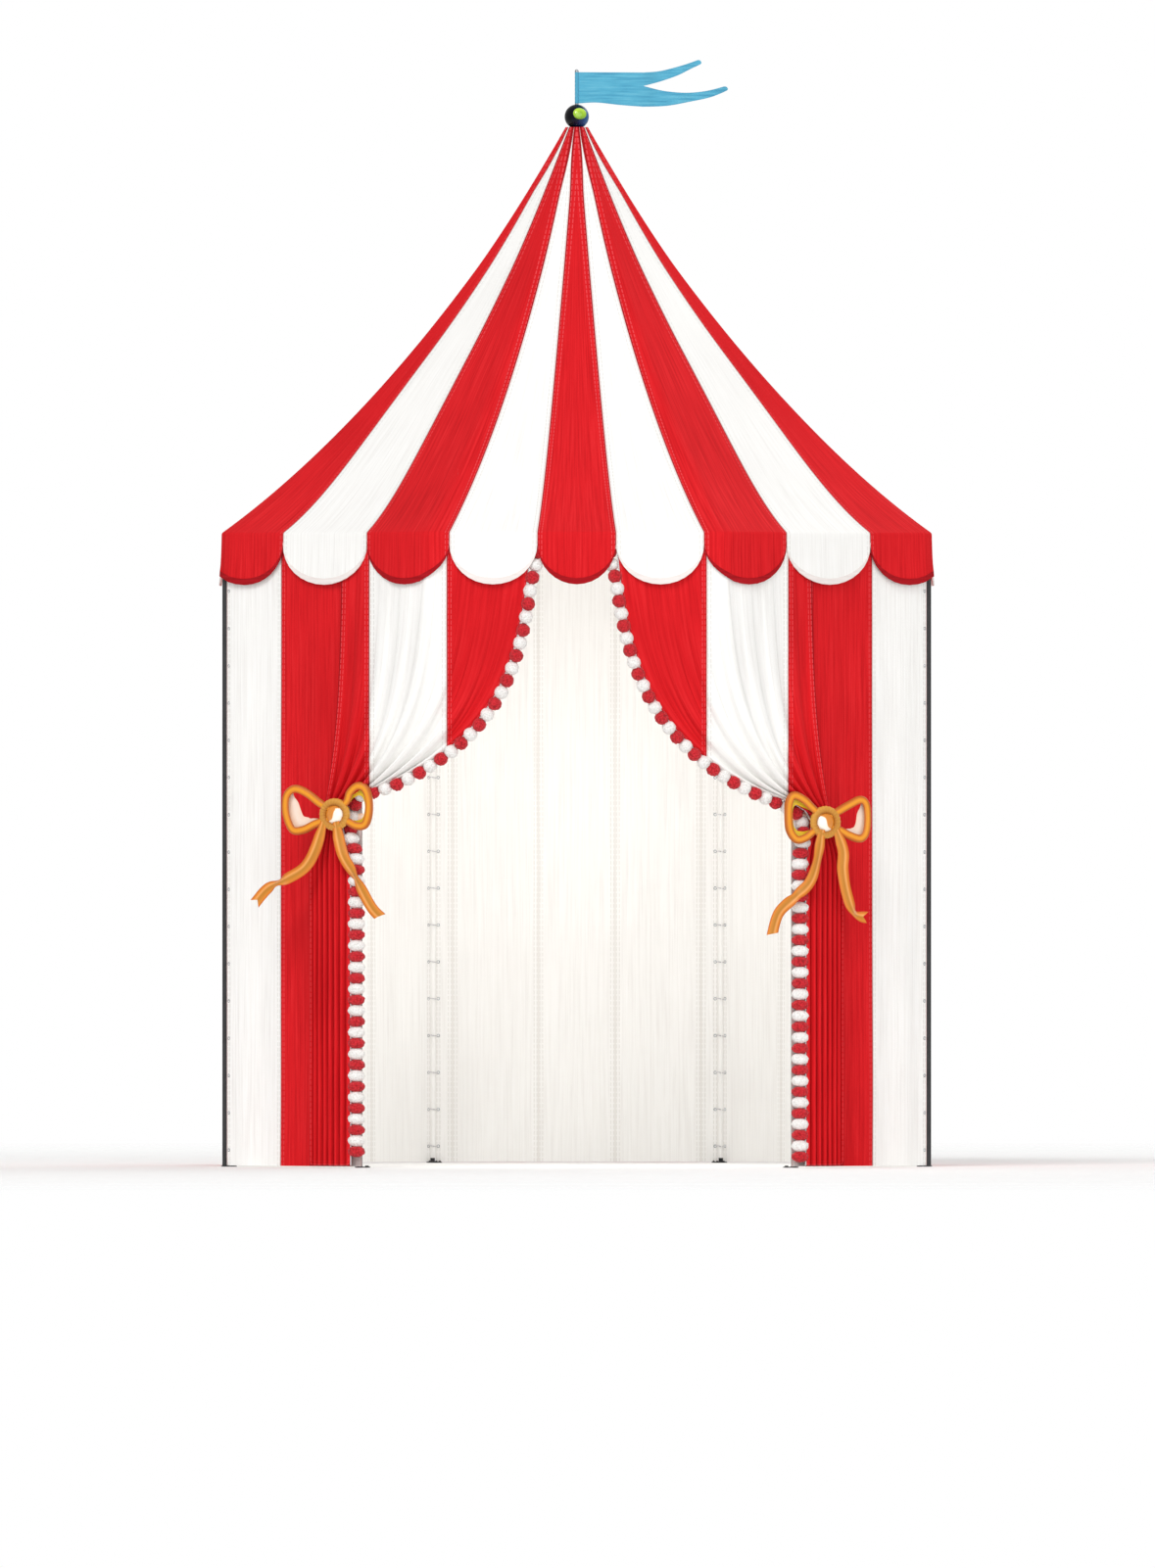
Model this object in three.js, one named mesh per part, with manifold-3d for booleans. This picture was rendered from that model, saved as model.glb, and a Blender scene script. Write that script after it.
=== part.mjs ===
// Circus tent on an octagonal steel frame: striped canvas roof with a scalloped valance,
// striped side walls, a doorway with two curtains tied back with bows, and a ball with a
// swallowtail pennant at the peak. Millimetres, +Z up, the doorway faces -Y, and the origin
// is on the ground at the middle of the plan.
import * as THREE from "three";
import { mergeVertices } from "three/addons/utils/BufferGeometryUtils.js";
import Module from "manifold-3d";

const wasm = await Module();
wasm.setup();

// Plan: eight equal bays. Bay 0 is the front, and they run anticlockwise.
const BAYS = 8;
const HALF_BAY = Math.PI / BAYS;
const EAVE_R = 3000; // from the axis to the outside of the valance, square to a bay
const CORNER_U = EAVE_R * Math.tan(HALF_BAY); // along the valance, from a bay's middle to its corner
const BAY_NAMES = [
  "front",
  "front_right",
  "right",
  "rear_right",
  "rear",
  "rear_left",
  "left",
  "front_left",
];

// Stripes, as wide as the scallops at their ends. A square bay, such as the front, has three
// whole ones and a diagonal bay has one. The stripes between them turn the corners.
const CENTRE_STRIPE = 662;
const NEXT_STRIPE = 739;
const DIAGONAL_STRIPE = 1000;
const CORNER_STRIPE = 2 * CORNER_U - CENTRE_STRIPE / 2 - NEXT_STRIPE - DIAGONAL_STRIPE / 2;
const SQUARE_BAY_SCALLOPS = [
  [0, CENTRE_STRIPE],
  [(CENTRE_STRIPE + NEXT_STRIPE) / 2, NEXT_STRIPE],
  [CENTRE_STRIPE / 2 + NEXT_STRIPE + CORNER_STRIPE / 2, CORNER_STRIPE],
];
const DIAGONAL_BAY_SCALLOPS = [
  [0, DIAGONAL_STRIPE],
  [(DIAGONAL_STRIPE + CORNER_STRIPE) / 2, CORNER_STRIPE],
];

// Roof: the slope is steep at the crown and eases towards the eave.
const EAVE_Z = 5340;
const EAVE_SLOPE = 0.72;
const CROWN_SLOPE = 1.62;
const CROWN_R = 60;
const ROOF_STEPS = 9;
const CUSP_Z = 5240; // where two scallops part
const SCALLOP_DROP = 340;
const SCALLOP_STEPS = 7;
const CANVAS_T = 12;
const GAP = 0.3;

// Steel frame.
const TUBE_R = 21.2;
const RING_TUBE_R = 24;
const TUBE_SIDES = 12;
const HUB_R = 55;
const DRUM_R = 84;
const DRUM_DEPTH = 212;
const FOOT_R = 66;
const FOOT_T = 8;
const FOOT_INSET = 38; // the foot plate's middle lies this far inwards of the post's
const RING_R = EAVE_R - CANVAS_T - GAP - RING_TUBE_R;
const RING_Z = ringHeight();
const WALL_BOTTOM = FOOT_T + 2;
const WALL_TOP = RING_Z - RING_TUBE_R - GAP;
const WALL_END = TUBE_R + 5; // a wall stops this far from the middle of a corner post
const DOOR_EDGE_U = 409; // the walls beside the doorway end this far past their bay's middle
const JAMB_R = RING_R - CANVAS_T / 2 - GAP - TUBE_R; // a jamb post stands inside its wall
const JAMB_U = 360; // along the bay, from its middle towards the doorway

// Curtains, given for the right one: u runs along bay 1 from its middle, away from the doorway.
const CURTAIN_R = RING_R + CANVAS_T + 3; // the curtain hangs outside the walls
const CURTAIN_PARTING = 330; // from the tent's middle to the curtain's edge at the top
const CURTAIN_END_U = -190; // its outer edge laps in front of the wall
const NECK = { u: -195, r: 3080, z: 2946, halfWidth: 90, halfDepth: 48 };
const FALL = { u: -122, r: 3080, halfWidth: 192, halfDepth: 72, spread: 520 };
const CURTAIN_COLUMNS = 12;
const CURTAIN_UPPER_ROWS = 10;
const CURTAIN_LOWER_ROWS = 5;

// Bows, in their own frame: x along the bow, y up, z outwards.
const BOW_TURN = (-67.5 * Math.PI) / 180; // the way that the right bow faces
const STRAP_T = 5;
const STRAP_H = 56;
const STRAP_EASE = 2; // between the strap and the gathered cloth
const KNOT_R = 130;
const KNOT_BACK_R = 112;
const KNOT_DEPTH = 70;
const LOOP_DEPTH = 56;
const RIBBON_W = 62;
const TAIL_W = 96;
const TAIL_FRONT = 58; // the tails hang clear in front of the gathered curtain
const TAIL_DEPTH = 16;
const OUTER_LOOP = [[125, 90], [230, 175], [340, 222], [425, 130], [428, -50], [335, -165], [220, -135], [125, -85]];
const INNER_LOOP = [[-115, 85], [-180, 190], [-260, 250], [-345, 160], [-350, -25], [-250, -150], [-110, -75]];
const RIGHT_TAILS = [
  [[90, -60], [150, -240], [150, -400], [190, -600], [260, -770], [375, -800]],
  [[-40, -60], [-90, -330], [-150, -500], [-270, -620], [-430, -760], [-500, -960]],
];
const LEFT_TAILS = [
  [[90, -60], [160, -280], [260, -440], [430, -540], [600, -620], [720, -750]],
  [[-20, -60], [-80, -320], [-170, -480], [-330, -760], [-440, -870]],
];

// Finial, staff and pennant.
const BALL_R = 103;
const BALL_BOTTOM = Math.asin(-0.94); // where the collar cuts the ball, as an angle
const BALL_TOP = Math.asin(0.985);
const BALL_STEPS = 9;
const BALL_SIDES = 20;
const COLLAR_R = 78;
const COLLAR_H = 12;
const STAFF_R = 9;
const STAFF_TOP = 9262;
const SLEEVE_BORE_R = 10.5;
const SLEEVE_R = 16;
const PENNANT_BOTTOM = 8990;
const PENNANT_TOP = 9238;
const PENNANT_T = 10;

const canvas = { roughness: 0.85, metalness: 0 };
const MATERIALS = {
  red_canvas: { color: 0xd9202a, ...canvas },
  white_canvas: { color: 0xf4f1ea, ...canvas },
  black_steel: { color: 0x1c1c1e, roughness: 0.45, metalness: 0.6 },
  galvanised_steel: { color: 0x9a9da1, roughness: 0.5, metalness: 0.8 },
  gold_ribbon: { color: 0xd58a1f, roughness: 0.45, metalness: 0.1 },
  navy_enamel: { color: 0x0b1334, roughness: 0.15, metalness: 0.1 },
  blue_pennant: { color: 0x58b4d4, roughness: 0.8, metalness: 0 },
};

const tent = new THREE.Group();

// The outside of the roof at a distance from the axis, square to a bay.
function roofHeight(r) {
  const d = EAVE_R - r;
  return EAVE_Z + EAVE_SLOPE * d + ((CROWN_SLOPE - EAVE_SLOPE) * d * d) / (2 * EAVE_R);
}

function roofSlope(r) {
  return EAVE_SLOPE + ((CROWN_SLOPE - EAVE_SLOPE) * (EAVE_R - r)) / EAVE_R;
}

// The eave ring lies in the fold between the roof and the valance, touching neither.
function ringHeight() {
  const reach = CANVAS_T + GAP + RING_TUBE_R;
  return EAVE_Z + EAVE_SLOPE * reach - reach * Math.hypot(1, EAVE_SLOPE);
}

// A closed geometry as a solid, and a solid as a named mesh.
function solid(geometry) {
  const bare = geometry.clone();
  bare.deleteAttribute("normal");
  bare.deleteAttribute("uv");
  const merged = mergeVertices(bare, 1e-3);
  return new wasm.Manifold(
    new wasm.Mesh({
      numProp: 3,
      vertProperties: merged.attributes.position.array,
      triVerts: new Uint32Array(merged.index.array),
    }),
  );
}

function geometryOf(body) {
  const mesh = body.getMesh();
  const geometry = new THREE.BufferGeometry();
  geometry.setAttribute("position", new THREE.BufferAttribute(mesh.vertProperties, 3));
  geometry.setIndex(new THREE.BufferAttribute(mesh.triVerts, 1));
  return geometry;
}

function addMesh(name, geometry, materialName) {
  const mesh = new THREE.Mesh(geometry, new THREE.MeshStandardMaterial(MATERIALS[materialName]));
  mesh.name = name;
  tent.add(mesh);
  return mesh;
}

function plan(points) {
  return points.map(([x, y]) => new THREE.Vector2(x, y));
}

function bayAngle(bay) {
  return -Math.PI / 2 + bay * 2 * HALF_BAY;
}

// A point given along a bay, out from the axis and up.
function bayPoint(bay, u, r, z) {
  const a = bayAngle(bay);
  return new THREE.Vector3(
    r * Math.cos(a) - u * Math.sin(a),
    r * Math.sin(a) + u * Math.cos(a),
    z,
  );
}

// A solid round the axis with one flat side to each bay, from a profile of (distance, height).
function octagonal(profile) {
  const widened = profile.map(([r, z]) => [r / Math.cos(HALF_BAY), z]);
  const lathe = new THREE.LatheGeometry(plan(widened), BAYS, HALF_BAY);
  lathe.rotateX(Math.PI / 2); // the lathe's own axis is Y
  return solid(lathe);
}

// An extruded outline that stands in a bay's plane, from r0 to r1.
function standing(shape, r0, r1) {
  const options = { depth: r1 - r0, bevelEnabled: false, curveSegments: 2 };
  const geometry = new THREE.ExtrudeGeometry(shape, options);
  geometry.rotateX(Math.PI / 2); // outline's y goes up, and the depth goes to -Y
  geometry.translate(0, -r0, 0);
  return geometry;
}

function circleProfile(centreR, centreZ, radius, sides) {
  const points = [];
  for (let i = 0; i <= sides; i++) {
    const a = (2 * Math.PI * (i % sides)) / sides;
    points.push([centreR + radius * Math.cos(a), centreZ + radius * Math.sin(a)]);
  }
  return points;
}

// Roof canvas with its valance as one shell, before it is cut into bays.
function canopyShell() {
  const outer = [];
  const inner = [];
  for (let i = 0; i <= ROOF_STEPS; i++) {
    const r = CROWN_R + ((EAVE_R - CROWN_R) * i) / ROOF_STEPS;
    const slope = roofSlope(r);
    outer.push([r, roofHeight(r)]);
    if (i < ROOF_STEPS) inner.push([r, roofHeight(r) - CANVAS_T * Math.hypot(1, slope)]);
  }
  const hem = CUSP_Z - SCALLOP_DROP - 5; // the scallops are cut just above it
  const foldR = EAVE_R - CANVAS_T;
  const fold = EAVE_Z + EAVE_SLOPE * CANVAS_T - CANVAS_T * Math.hypot(1, EAVE_SLOPE);
  const profile = [...outer, [EAVE_R, hem], [foldR, hem], [foldR, fold], ...inner.reverse()].reverse();
  return octagonal([...profile, profile[0]]);
}

// Everything between two upright planes through the axis, drawn in by half a seam.
function sector(from, to) {
  const far = 2 * EAVE_R;
  const seam = new THREE.Vector2(0, -GAP / 2 / Math.sin((to - from) / 2));
  const middle = (from + to) / 2;
  const shape = new THREE.Shape();
  shape.moveTo(0, seam.y);
  shape.lineTo(far * Math.sin(from - middle), seam.y - far * Math.cos(from - middle));
  shape.lineTo(far * Math.sin(to - middle), seam.y - far * Math.cos(to - middle));
  const geometry = new THREE.ExtrudeGeometry(shape, { depth: 2 * STAFF_TOP, bevelEnabled: false });
  geometry.rotateZ(middle);
  return solid(geometry);
}

// What is trimmed away under one scallop of the valance.
function scallopCutter(middleU, width) {
  const low = CUSP_Z - SCALLOP_DROP;
  const half = width / 2;
  const shape = new THREE.Shape();
  shape.moveTo(middleU - half - 1, low - 10);
  shape.lineTo(middleU + half + 1, low - 10);
  shape.lineTo(middleU + half + 1, CUSP_Z);
  for (let i = 0; i <= 2 * SCALLOP_STEPS; i++) {
    const a = (-Math.PI * i) / (2 * SCALLOP_STEPS);
    shape.lineTo(middleU + half * Math.cos(a), CUSP_Z + SCALLOP_DROP * Math.sin(a));
  }
  shape.lineTo(middleU - half - 1, CUSP_Z);
  return solid(standing(shape, EAVE_R - 5 * CANVAS_T, EAVE_R + CANVAS_T));
}

// A bay's canvas takes the colour that most of it has.
function canvasOf(red) {
  return red ? "red_canvas" : "white_canvas";
}

function roofPanel(scallops) {
  let panel = canopyShell().intersect(sector(-HALF_BAY, HALF_BAY));
  for (const [middleU, width] of scallops) {
    panel = panel.subtract(scallopCutter(middleU, width));
    if (middleU > 0) panel = panel.subtract(scallopCutter(-middleU, width));
  }
  return geometryOf(panel);
}

function addRoofPanels() {
  const square = roofPanel(SQUARE_BAY_SCALLOPS);
  const diagonal = roofPanel(DIAGONAL_BAY_SCALLOPS);
  BAY_NAMES.forEach((name, bay) => {
    const red = bay % 2 === 1;
    const mesh = addMesh(`roof_panel_${name}`, red ? diagonal : square, canvasOf(red));
    mesh.rotation.z = bay * 2 * HALF_BAY;
  });
}

// Side walls: one sheet of canvas a bay. The two beside the doorway end at the tied curtains.
function addWalls() {
  const cornerU = RING_R * Math.tan(HALF_BAY);
  for (let bay = 1; bay < BAYS; bay++) {
    const from = bay === 1 ? -DOOR_EDGE_U : -cornerU + WALL_END;
    const to = bay === BAYS - 1 ? DOOR_EDGE_U : cornerU - WALL_END;
    const sheet = new THREE.BoxGeometry(CANVAS_T, to - from, WALL_TOP - WALL_BOTTOM);
    const mesh = addMesh(`wall_${BAY_NAMES[bay]}`, sheet, canvasOf(bay % 2 === 0));
    mesh.position.copy(bayPoint(bay, (from + to) / 2, RING_R, (WALL_BOTTOM + WALL_TOP) / 2));
    mesh.rotation.z = bayAngle(bay);
  }
}

// The eave ring, or the space round it that other pieces are cut back to.
function eaveRing(clearance) {
  return octagonal(circleProfile(RING_R, RING_Z, RING_TUBE_R + clearance, TUBE_SIDES));
}

// A post with its foot plate, on the spot given; the plate is set in towards the tent's middle.
function post(spot) {
  const tube = new THREE.CylinderGeometry(TUBE_R, TUBE_R, RING_Z - 1, TUBE_SIDES);
  tube.rotateX(Math.PI / 2);
  tube.translate(spot.x, spot.y, (RING_Z - 1) / 2 + 1);
  const inwards = new THREE.Vector3(spot.x, spot.y, 0).setLength(-FOOT_INSET);
  const foot = new THREE.CylinderGeometry(FOOT_R, FOOT_R, FOOT_T, 2 * TUBE_SIDES);
  foot.rotateX(Math.PI / 2);
  foot.translate(spot.x + inwards.x, spot.y + inwards.y, FOOT_T / 2);
  return solid(tube).add(solid(foot)).subtract(eaveRing(GAP));
}

function addPosts() {
  const cornerU = RING_R * Math.tan(HALF_BAY);
  const corners = { front_right: 1, side_right: 2, rear_right: 3, rear_left: 4, side_left: 5, front_left: 6 };
  for (const [name, bay] of Object.entries(corners)) {
    addMesh(`post_${name}`, geometryOf(post(bayPoint(bay, cornerU, RING_R, 0))), "black_steel");
  }
  addMesh("jamb_post_right", geometryOf(post(bayPoint(1, -JAMB_U, JAMB_R, 0))), "black_steel");
  addMesh("jamb_post_left", geometryOf(post(bayPoint(7, JAMB_U, JAMB_R, 0))), "black_steel");
}

// The middle line of a rafter, just under the hip between two bays.
class HipCurve extends THREE.Curve {
  // Its steps are even across the plan, so that it bends where the canvas above it does.
  getUtoTmapping(u) {
    return u;
  }

  getPoint(t) {
    const r = EAVE_R - t * (EAVE_R - CROWN_R);
    const slope = roofSlope(r);
    const hipSlope = slope * Math.cos(HALF_BAY);
    const facing =
      (slope * hipSlope * Math.cos(HALF_BAY) + 1) / Math.hypot(1, slope) / Math.hypot(1, hipSlope);
    const drop = (CANVAS_T + TUBE_R + 2 * GAP) / facing / Math.hypot(1, hipSlope);
    return new THREE.Vector3(
      r / Math.cos(HALF_BAY) - hipSlope * drop,
      0,
      roofHeight(r) - drop,
    );
  }
}

// The hub's drum takes the rafters, and its neck comes up through the canvas.
function crownHub() {
  const top = roofHeight(CROWN_R);
  const shoulder = (r) => [r, roofHeight(r) - CANVAS_T * Math.hypot(1, CROWN_SLOPE) - 4 * GAP];
  const foot = top - DRUM_DEPTH;
  const profile = [[0, foot], [DRUM_R, foot], shoulder(DRUM_R), shoulder(HUB_R), [HUB_R, top], [0, top]];
  return new THREE.LatheGeometry(plan(profile), 2 * TUBE_SIDES).rotateX(Math.PI / 2);
}

// The upright space round the drum that the rafters are cut back to.
function drumSpace() {
  const round = new THREE.CylinderGeometry(DRUM_R + GAP, DRUM_R + GAP, 2 * EAVE_R, 2 * TUBE_SIDES);
  return solid(round.rotateX(Math.PI / 2).translate(0, 0, roofHeight(CROWN_R)));
}

function addRoofFrame() {
  const round = new THREE.Shape();
  round.absarc(0, 0, TUBE_R, 0, 2 * Math.PI);
  const tube = new THREE.ExtrudeGeometry(round, {
    steps: ROOF_STEPS,
    curveSegments: TUBE_SIDES / 2,
    extrudePath: new HipCurve(),
  });
  const ring = eaveRing(GAP);
  const drum = drumSpace();
  for (let bay = 0; bay < BAYS; bay++) {
    const turned = tube.clone().rotateZ(bayAngle(bay) + HALF_BAY);
    const pieces = solid(turned).subtract(ring).subtract(drum).decompose();
    const rafter = pieces.reduce((a, b) => (a.volume() > b.volume() ? a : b));
    addMesh(`rafter_${bay + 1}`, geometryOf(rafter), "galvanised_steel");
  }
  addMesh("crown_hub", crownHub(), "galvanised_steel");
  addMesh("eave_ring", geometryOf(eaveRing(0)), "galvanised_steel");
}

// A closed slab between two grids of points with the same rows and columns.
function slab(outer, inner) {
  const rows = outer.length;
  const columns = outer[0].length;
  const points = [...outer.flat(), ...inner.flat()];
  const at = (side, i, j) => side * rows * columns + i * columns + j;
  const index = [];
  const quad = (a, b, c, d) => index.push(a, b, c, a, c, d);
  for (let i = 0; i + 1 < rows; i++) {
    for (let j = 0; j + 1 < columns; j++) {
      quad(at(0, i, j), at(0, i + 1, j), at(0, i + 1, j + 1), at(0, i, j + 1));
      quad(at(1, i, j), at(1, i, j + 1), at(1, i + 1, j + 1), at(1, i + 1, j));
    }
    quad(at(0, i, 0), at(1, i, 0), at(1, i + 1, 0), at(0, i + 1, 0));
    const last = columns - 1;
    quad(at(0, i, last), at(0, i + 1, last), at(1, i + 1, last), at(1, i, last));
  }
  for (let j = 0; j + 1 < columns; j++) {
    const last = rows - 1;
    quad(at(0, 0, j), at(0, 0, j + 1), at(1, 0, j + 1), at(1, 0, j));
    quad(at(0, last, j), at(1, last, j), at(1, last, j + 1), at(0, last, j + 1));
  }
  const geometry = new THREE.BufferGeometry().setFromPoints(points);
  geometry.setIndex(index);
  return geometry;
}

// Where the right curtain hangs from the eave ring, for s from its edge to the wall.
function curtainTop(s) {
  const corner = CURTAIN_R * Math.tan(HALF_BAY);
  const front = corner - CURTAIN_PARTING;
  const along = s * (front + corner + CURTAIN_END_U);
  const bay = along < front ? 0 : 1;
  const u = bay === 0 ? CURTAIN_PARTING + along : along - front - corner;
  return { point: bayPoint(bay, u, CURTAIN_R, 0), normal: bayPoint(bay, 0, 1, 0) };
}

// One thread of the curtain above the tie, as a curve that hangs from the ring to the neck.
function curtainThread(s, top) {
  const start = curtainTop(s).point.setZ(top);
  const end = bayPoint(1, NECK.u + (2 * s - 1) * NECK.halfWidth, NECK.r, NECK.z);
  const between = (across, down) => {
    const p = start.clone().lerp(end, across);
    return p.setZ(top + (NECK.z - top) * down);
  };
  return new THREE.CubicBezierCurve3(start, between(0.055, 0.56), between(0.255, 0.79), end);
}

// The right curtain as a slab, which is thick where the cloth is gathered.
function curtain(clearance) {
  const outer = [];
  const inner = [];
  const n1 = bayPoint(1, 0, 1, 0);
  const top = RING_Z - RING_TUBE_R / 2;
  const smooth = (t) => t * t * (3 - 2 * t);
  for (let i = 0; i <= CURTAIN_UPPER_ROWS + CURTAIN_LOWER_ROWS; i++) {
    const outerRow = [];
    const innerRow = [];
    for (let j = 0; j <= CURTAIN_COLUMNS; j++) {
      const s = 0.5 + (j / CURTAIN_COLUMNS - 0.5) * (1 + clearance / NECK.halfDepth);
      let middle;
      let normal;
      let half;
      if (i <= CURTAIN_UPPER_ROWS) {
        const t = i / CURTAIN_UPPER_ROWS;
        middle = curtainThread(s, top).getPoint(t);
        normal = curtainTop(s).normal.lerp(n1, smooth(t)).normalize();
        half = CANVAS_T / 2 + (NECK.halfDepth - CANVAS_T / 2) * t ** 4;
      } else {
        const t = (i - CURTAIN_UPPER_ROWS) / CURTAIN_LOWER_ROWS;
        const z = NECK.z + (WALL_BOTTOM + 2 - NECK.z) * t;
        const w = smooth(Math.min(1, (NECK.z - z) / FALL.spread));
        const mix = (key) => NECK[key] + (FALL[key] - NECK[key]) * w;
        middle = bayPoint(1, mix("u") + (2 * s - 1) * mix("halfWidth"), mix("r"), z);
        normal = n1;
        half = mix("halfDepth") * Math.sqrt(1 - w * 0.8 * (2 * s - 1) ** 2);
      }
      half += clearance;
      outerRow.push(middle.clone().addScaledVector(normal, half));
      innerRow.push(middle.clone().addScaledVector(normal, -half));
    }
    outer.push(outerRow);
    inner.push(innerRow);
  }
  return slab(outer, inner);
}

// A band of even width along a line of points, as an outline.
function bandOutline(points, width) {
  const side = (sign) =>
    points.map((p, i) => {
      const before = points[Math.max(0, i - 1)];
      const after = points[Math.min(points.length - 1, i + 1)];
      const along = after.clone().sub(before).normalize();
      return new THREE.Vector2(-along.y, along.x).multiplyScalar((sign * width) / 2).add(p);
    });
  return new THREE.Shape([...side(1), ...side(-1).reverse()]);
}

// One loop of the bow: ribbon that runs out from the knot and back to it.
function bowLoop(corners) {
  const line = new THREE.SplineCurve(plan([[0, 25], ...corners, [0, -25]]));
  const ribbon = bandOutline(line.getPoints(2 * corners.length), RIBBON_W);
  return solid(new THREE.ExtrudeGeometry(ribbon, { depth: LOOP_DEPTH, bevelEnabled: false }));
}

function bowTail(corners) {
  const line = new THREE.SplineCurve(plan(corners));
  const ribbon = bandOutline(line.getPoints(2 * corners.length), TAIL_W);
  const tail = new THREE.ExtrudeGeometry(ribbon, { depth: TAIL_DEPTH, bevelEnabled: false });
  return solid(tail.translate(0, 0, TAIL_FRONT - TAIL_DEPTH));
}

// The strap round the curtain's neck, which hooks behind the wall strip to the jamb post.
function strap() {
  const wide = NECK.halfWidth + STRAP_EASE;
  const deep = NECK.halfDepth + STRAP_EASE;
  const box = (x, y) => plan([[-x, -y], [x, -y], [x, y], [-x, y]]);
  const band = new THREE.Shape(box(wide + STRAP_T, deep + STRAP_T));
  band.holes.push(new THREE.Path(box(wide, deep)));
  const height = { depth: STRAP_H, bevelEnabled: false };
  const ring = new THREE.ExtrudeGeometry(band, height);
  ring.translate(NECK.u, -NECK.r, 0);
  const outside = RING_R + CANVAS_T / 2 + STRAP_T;
  const run = plan([
    [NECK.u, -NECK.r + deep + STRAP_T / 2],
    [NECK.u - wide, -NECK.r + deep + STRAP_T / 2],
    [-DOOR_EDGE_U - STRAP_T, -outside],
    [-DOOR_EDGE_U - STRAP_T, -JAMB_R],
    [-JAMB_U - TUBE_R - GAP, -JAMB_R],
  ]);
  const hook = new THREE.ExtrudeGeometry(bandOutline(run, STRAP_T), height);
  const both = solid(ring).add(solid(hook));
  return both.translate(0, 0, NECK.z - STRAP_H / 2).rotate(0, 0, 45);
}

// A bow for the right side with its strap, in the tent's frame.
function bow(tailLines) {
  const knot = new THREE.CylinderGeometry(KNOT_R, KNOT_BACK_R, KNOT_DEPTH, 2 * TUBE_SIDES);
  knot.rotateX(Math.PI / 2); // the wide end comes to the front
  knot.translate(0, 0, KNOT_DEPTH / 2);
  let body = solid(knot);
  for (const loop of [OUTER_LOOP, INNER_LOOP]) body = body.add(bowLoop(loop));
  for (const line of tailLines) body = body.add(bowTail(line));
  const upright = new THREE.Matrix4().makeBasis(
    new THREE.Vector3(-Math.sin(BOW_TURN), Math.cos(BOW_TURN), 0),
    new THREE.Vector3(0, 0, 1),
    new THREE.Vector3(Math.cos(BOW_TURN), Math.sin(BOW_TURN), 0),
  );
  const turn = BOW_TURN - bayAngle(1);
  const support = NECK.halfWidth * Math.abs(Math.sin(turn)) + NECK.halfDepth * Math.cos(turn) + STRAP_T;
  const facing = new THREE.Vector3(Math.cos(BOW_TURN), Math.sin(BOW_TURN), 0);
  const place = bayPoint(1, NECK.u, NECK.r, NECK.z).addScaledVector(facing, support);
  const geometry = geometryOf(body).applyMatrix4(upright.setPosition(place));
  return solid(geometry).add(strap()).subtract(solid(curtain(GAP)));
}

// A curtain or bow for the left doorway side is the right one seen in a mirror.
function mirrored(geometry) {
  const copy = geometry.clone().scale(-1, 1, 1);
  const order = copy.index.array;
  for (let i = 0; i < order.length; i += 3) [order[i + 1], order[i + 2]] = [order[i + 2], order[i + 1]];
  return copy;
}

function addDoorway() {
  const rightCurtain = geometryOf(solid(curtain(0)).subtract(eaveRing(GAP)));
  addMesh("curtain_right", rightCurtain, "red_canvas");
  addMesh("curtain_left", mirrored(rightCurtain), "red_canvas");
  addMesh("bow_right", geometryOf(bow(RIGHT_TAILS)), "gold_ribbon");
  addMesh("bow_left", mirrored(geometryOf(bow(LEFT_TAILS))), "gold_ribbon");
}

// The ball sits on the hub on a short collar, and is flat on top where the staff stands.
function addFinial() {
  const low = roofHeight(CROWN_R) + GAP;
  const centre = low + COLLAR_H - BALL_R * Math.sin(BALL_BOTTOM);
  const profile = [
    [0, low],
    [COLLAR_R, low],
    [COLLAR_R, low + COLLAR_H],
  ];
  for (let i = 0; i <= BALL_STEPS; i++) {
    const a = BALL_BOTTOM + ((BALL_TOP - BALL_BOTTOM) * i) / BALL_STEPS;
    profile.push([BALL_R * Math.cos(a), centre + BALL_R * Math.sin(a)]);
  }
  const ballTop = centre + BALL_R * Math.sin(BALL_TOP);
  profile.push([0, ballTop]);
  const ball = new THREE.LatheGeometry(plan(profile), BALL_SIDES);
  addMesh("finial_ball", ball.rotateX(Math.PI / 2), "navy_enamel");
  return ballTop;
}

// The staff has a stop under the pennant's sleeve and a cap above it.
function addStaff(foot) {
  const stop = PENNANT_BOTTOM - GAP;
  const profile = [
    [0, foot + GAP],
    [SLEEVE_R, foot + GAP],
    [SLEEVE_R, stop],
    [STAFF_R, stop],
    [STAFF_R, PENNANT_TOP + GAP],
    [SLEEVE_R, PENNANT_TOP + GAP],
    [SLEEVE_R, STAFF_TOP - SLEEVE_R / 2],
    [SLEEVE_R / 2, STAFF_TOP],
    [0, STAFF_TOP],
  ];
  const staff = new THREE.LatheGeometry(plan(profile), TUBE_SIDES);
  addMesh("flag_staff", staff.rotateX(Math.PI / 2), "galvanised_steel");
}

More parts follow.
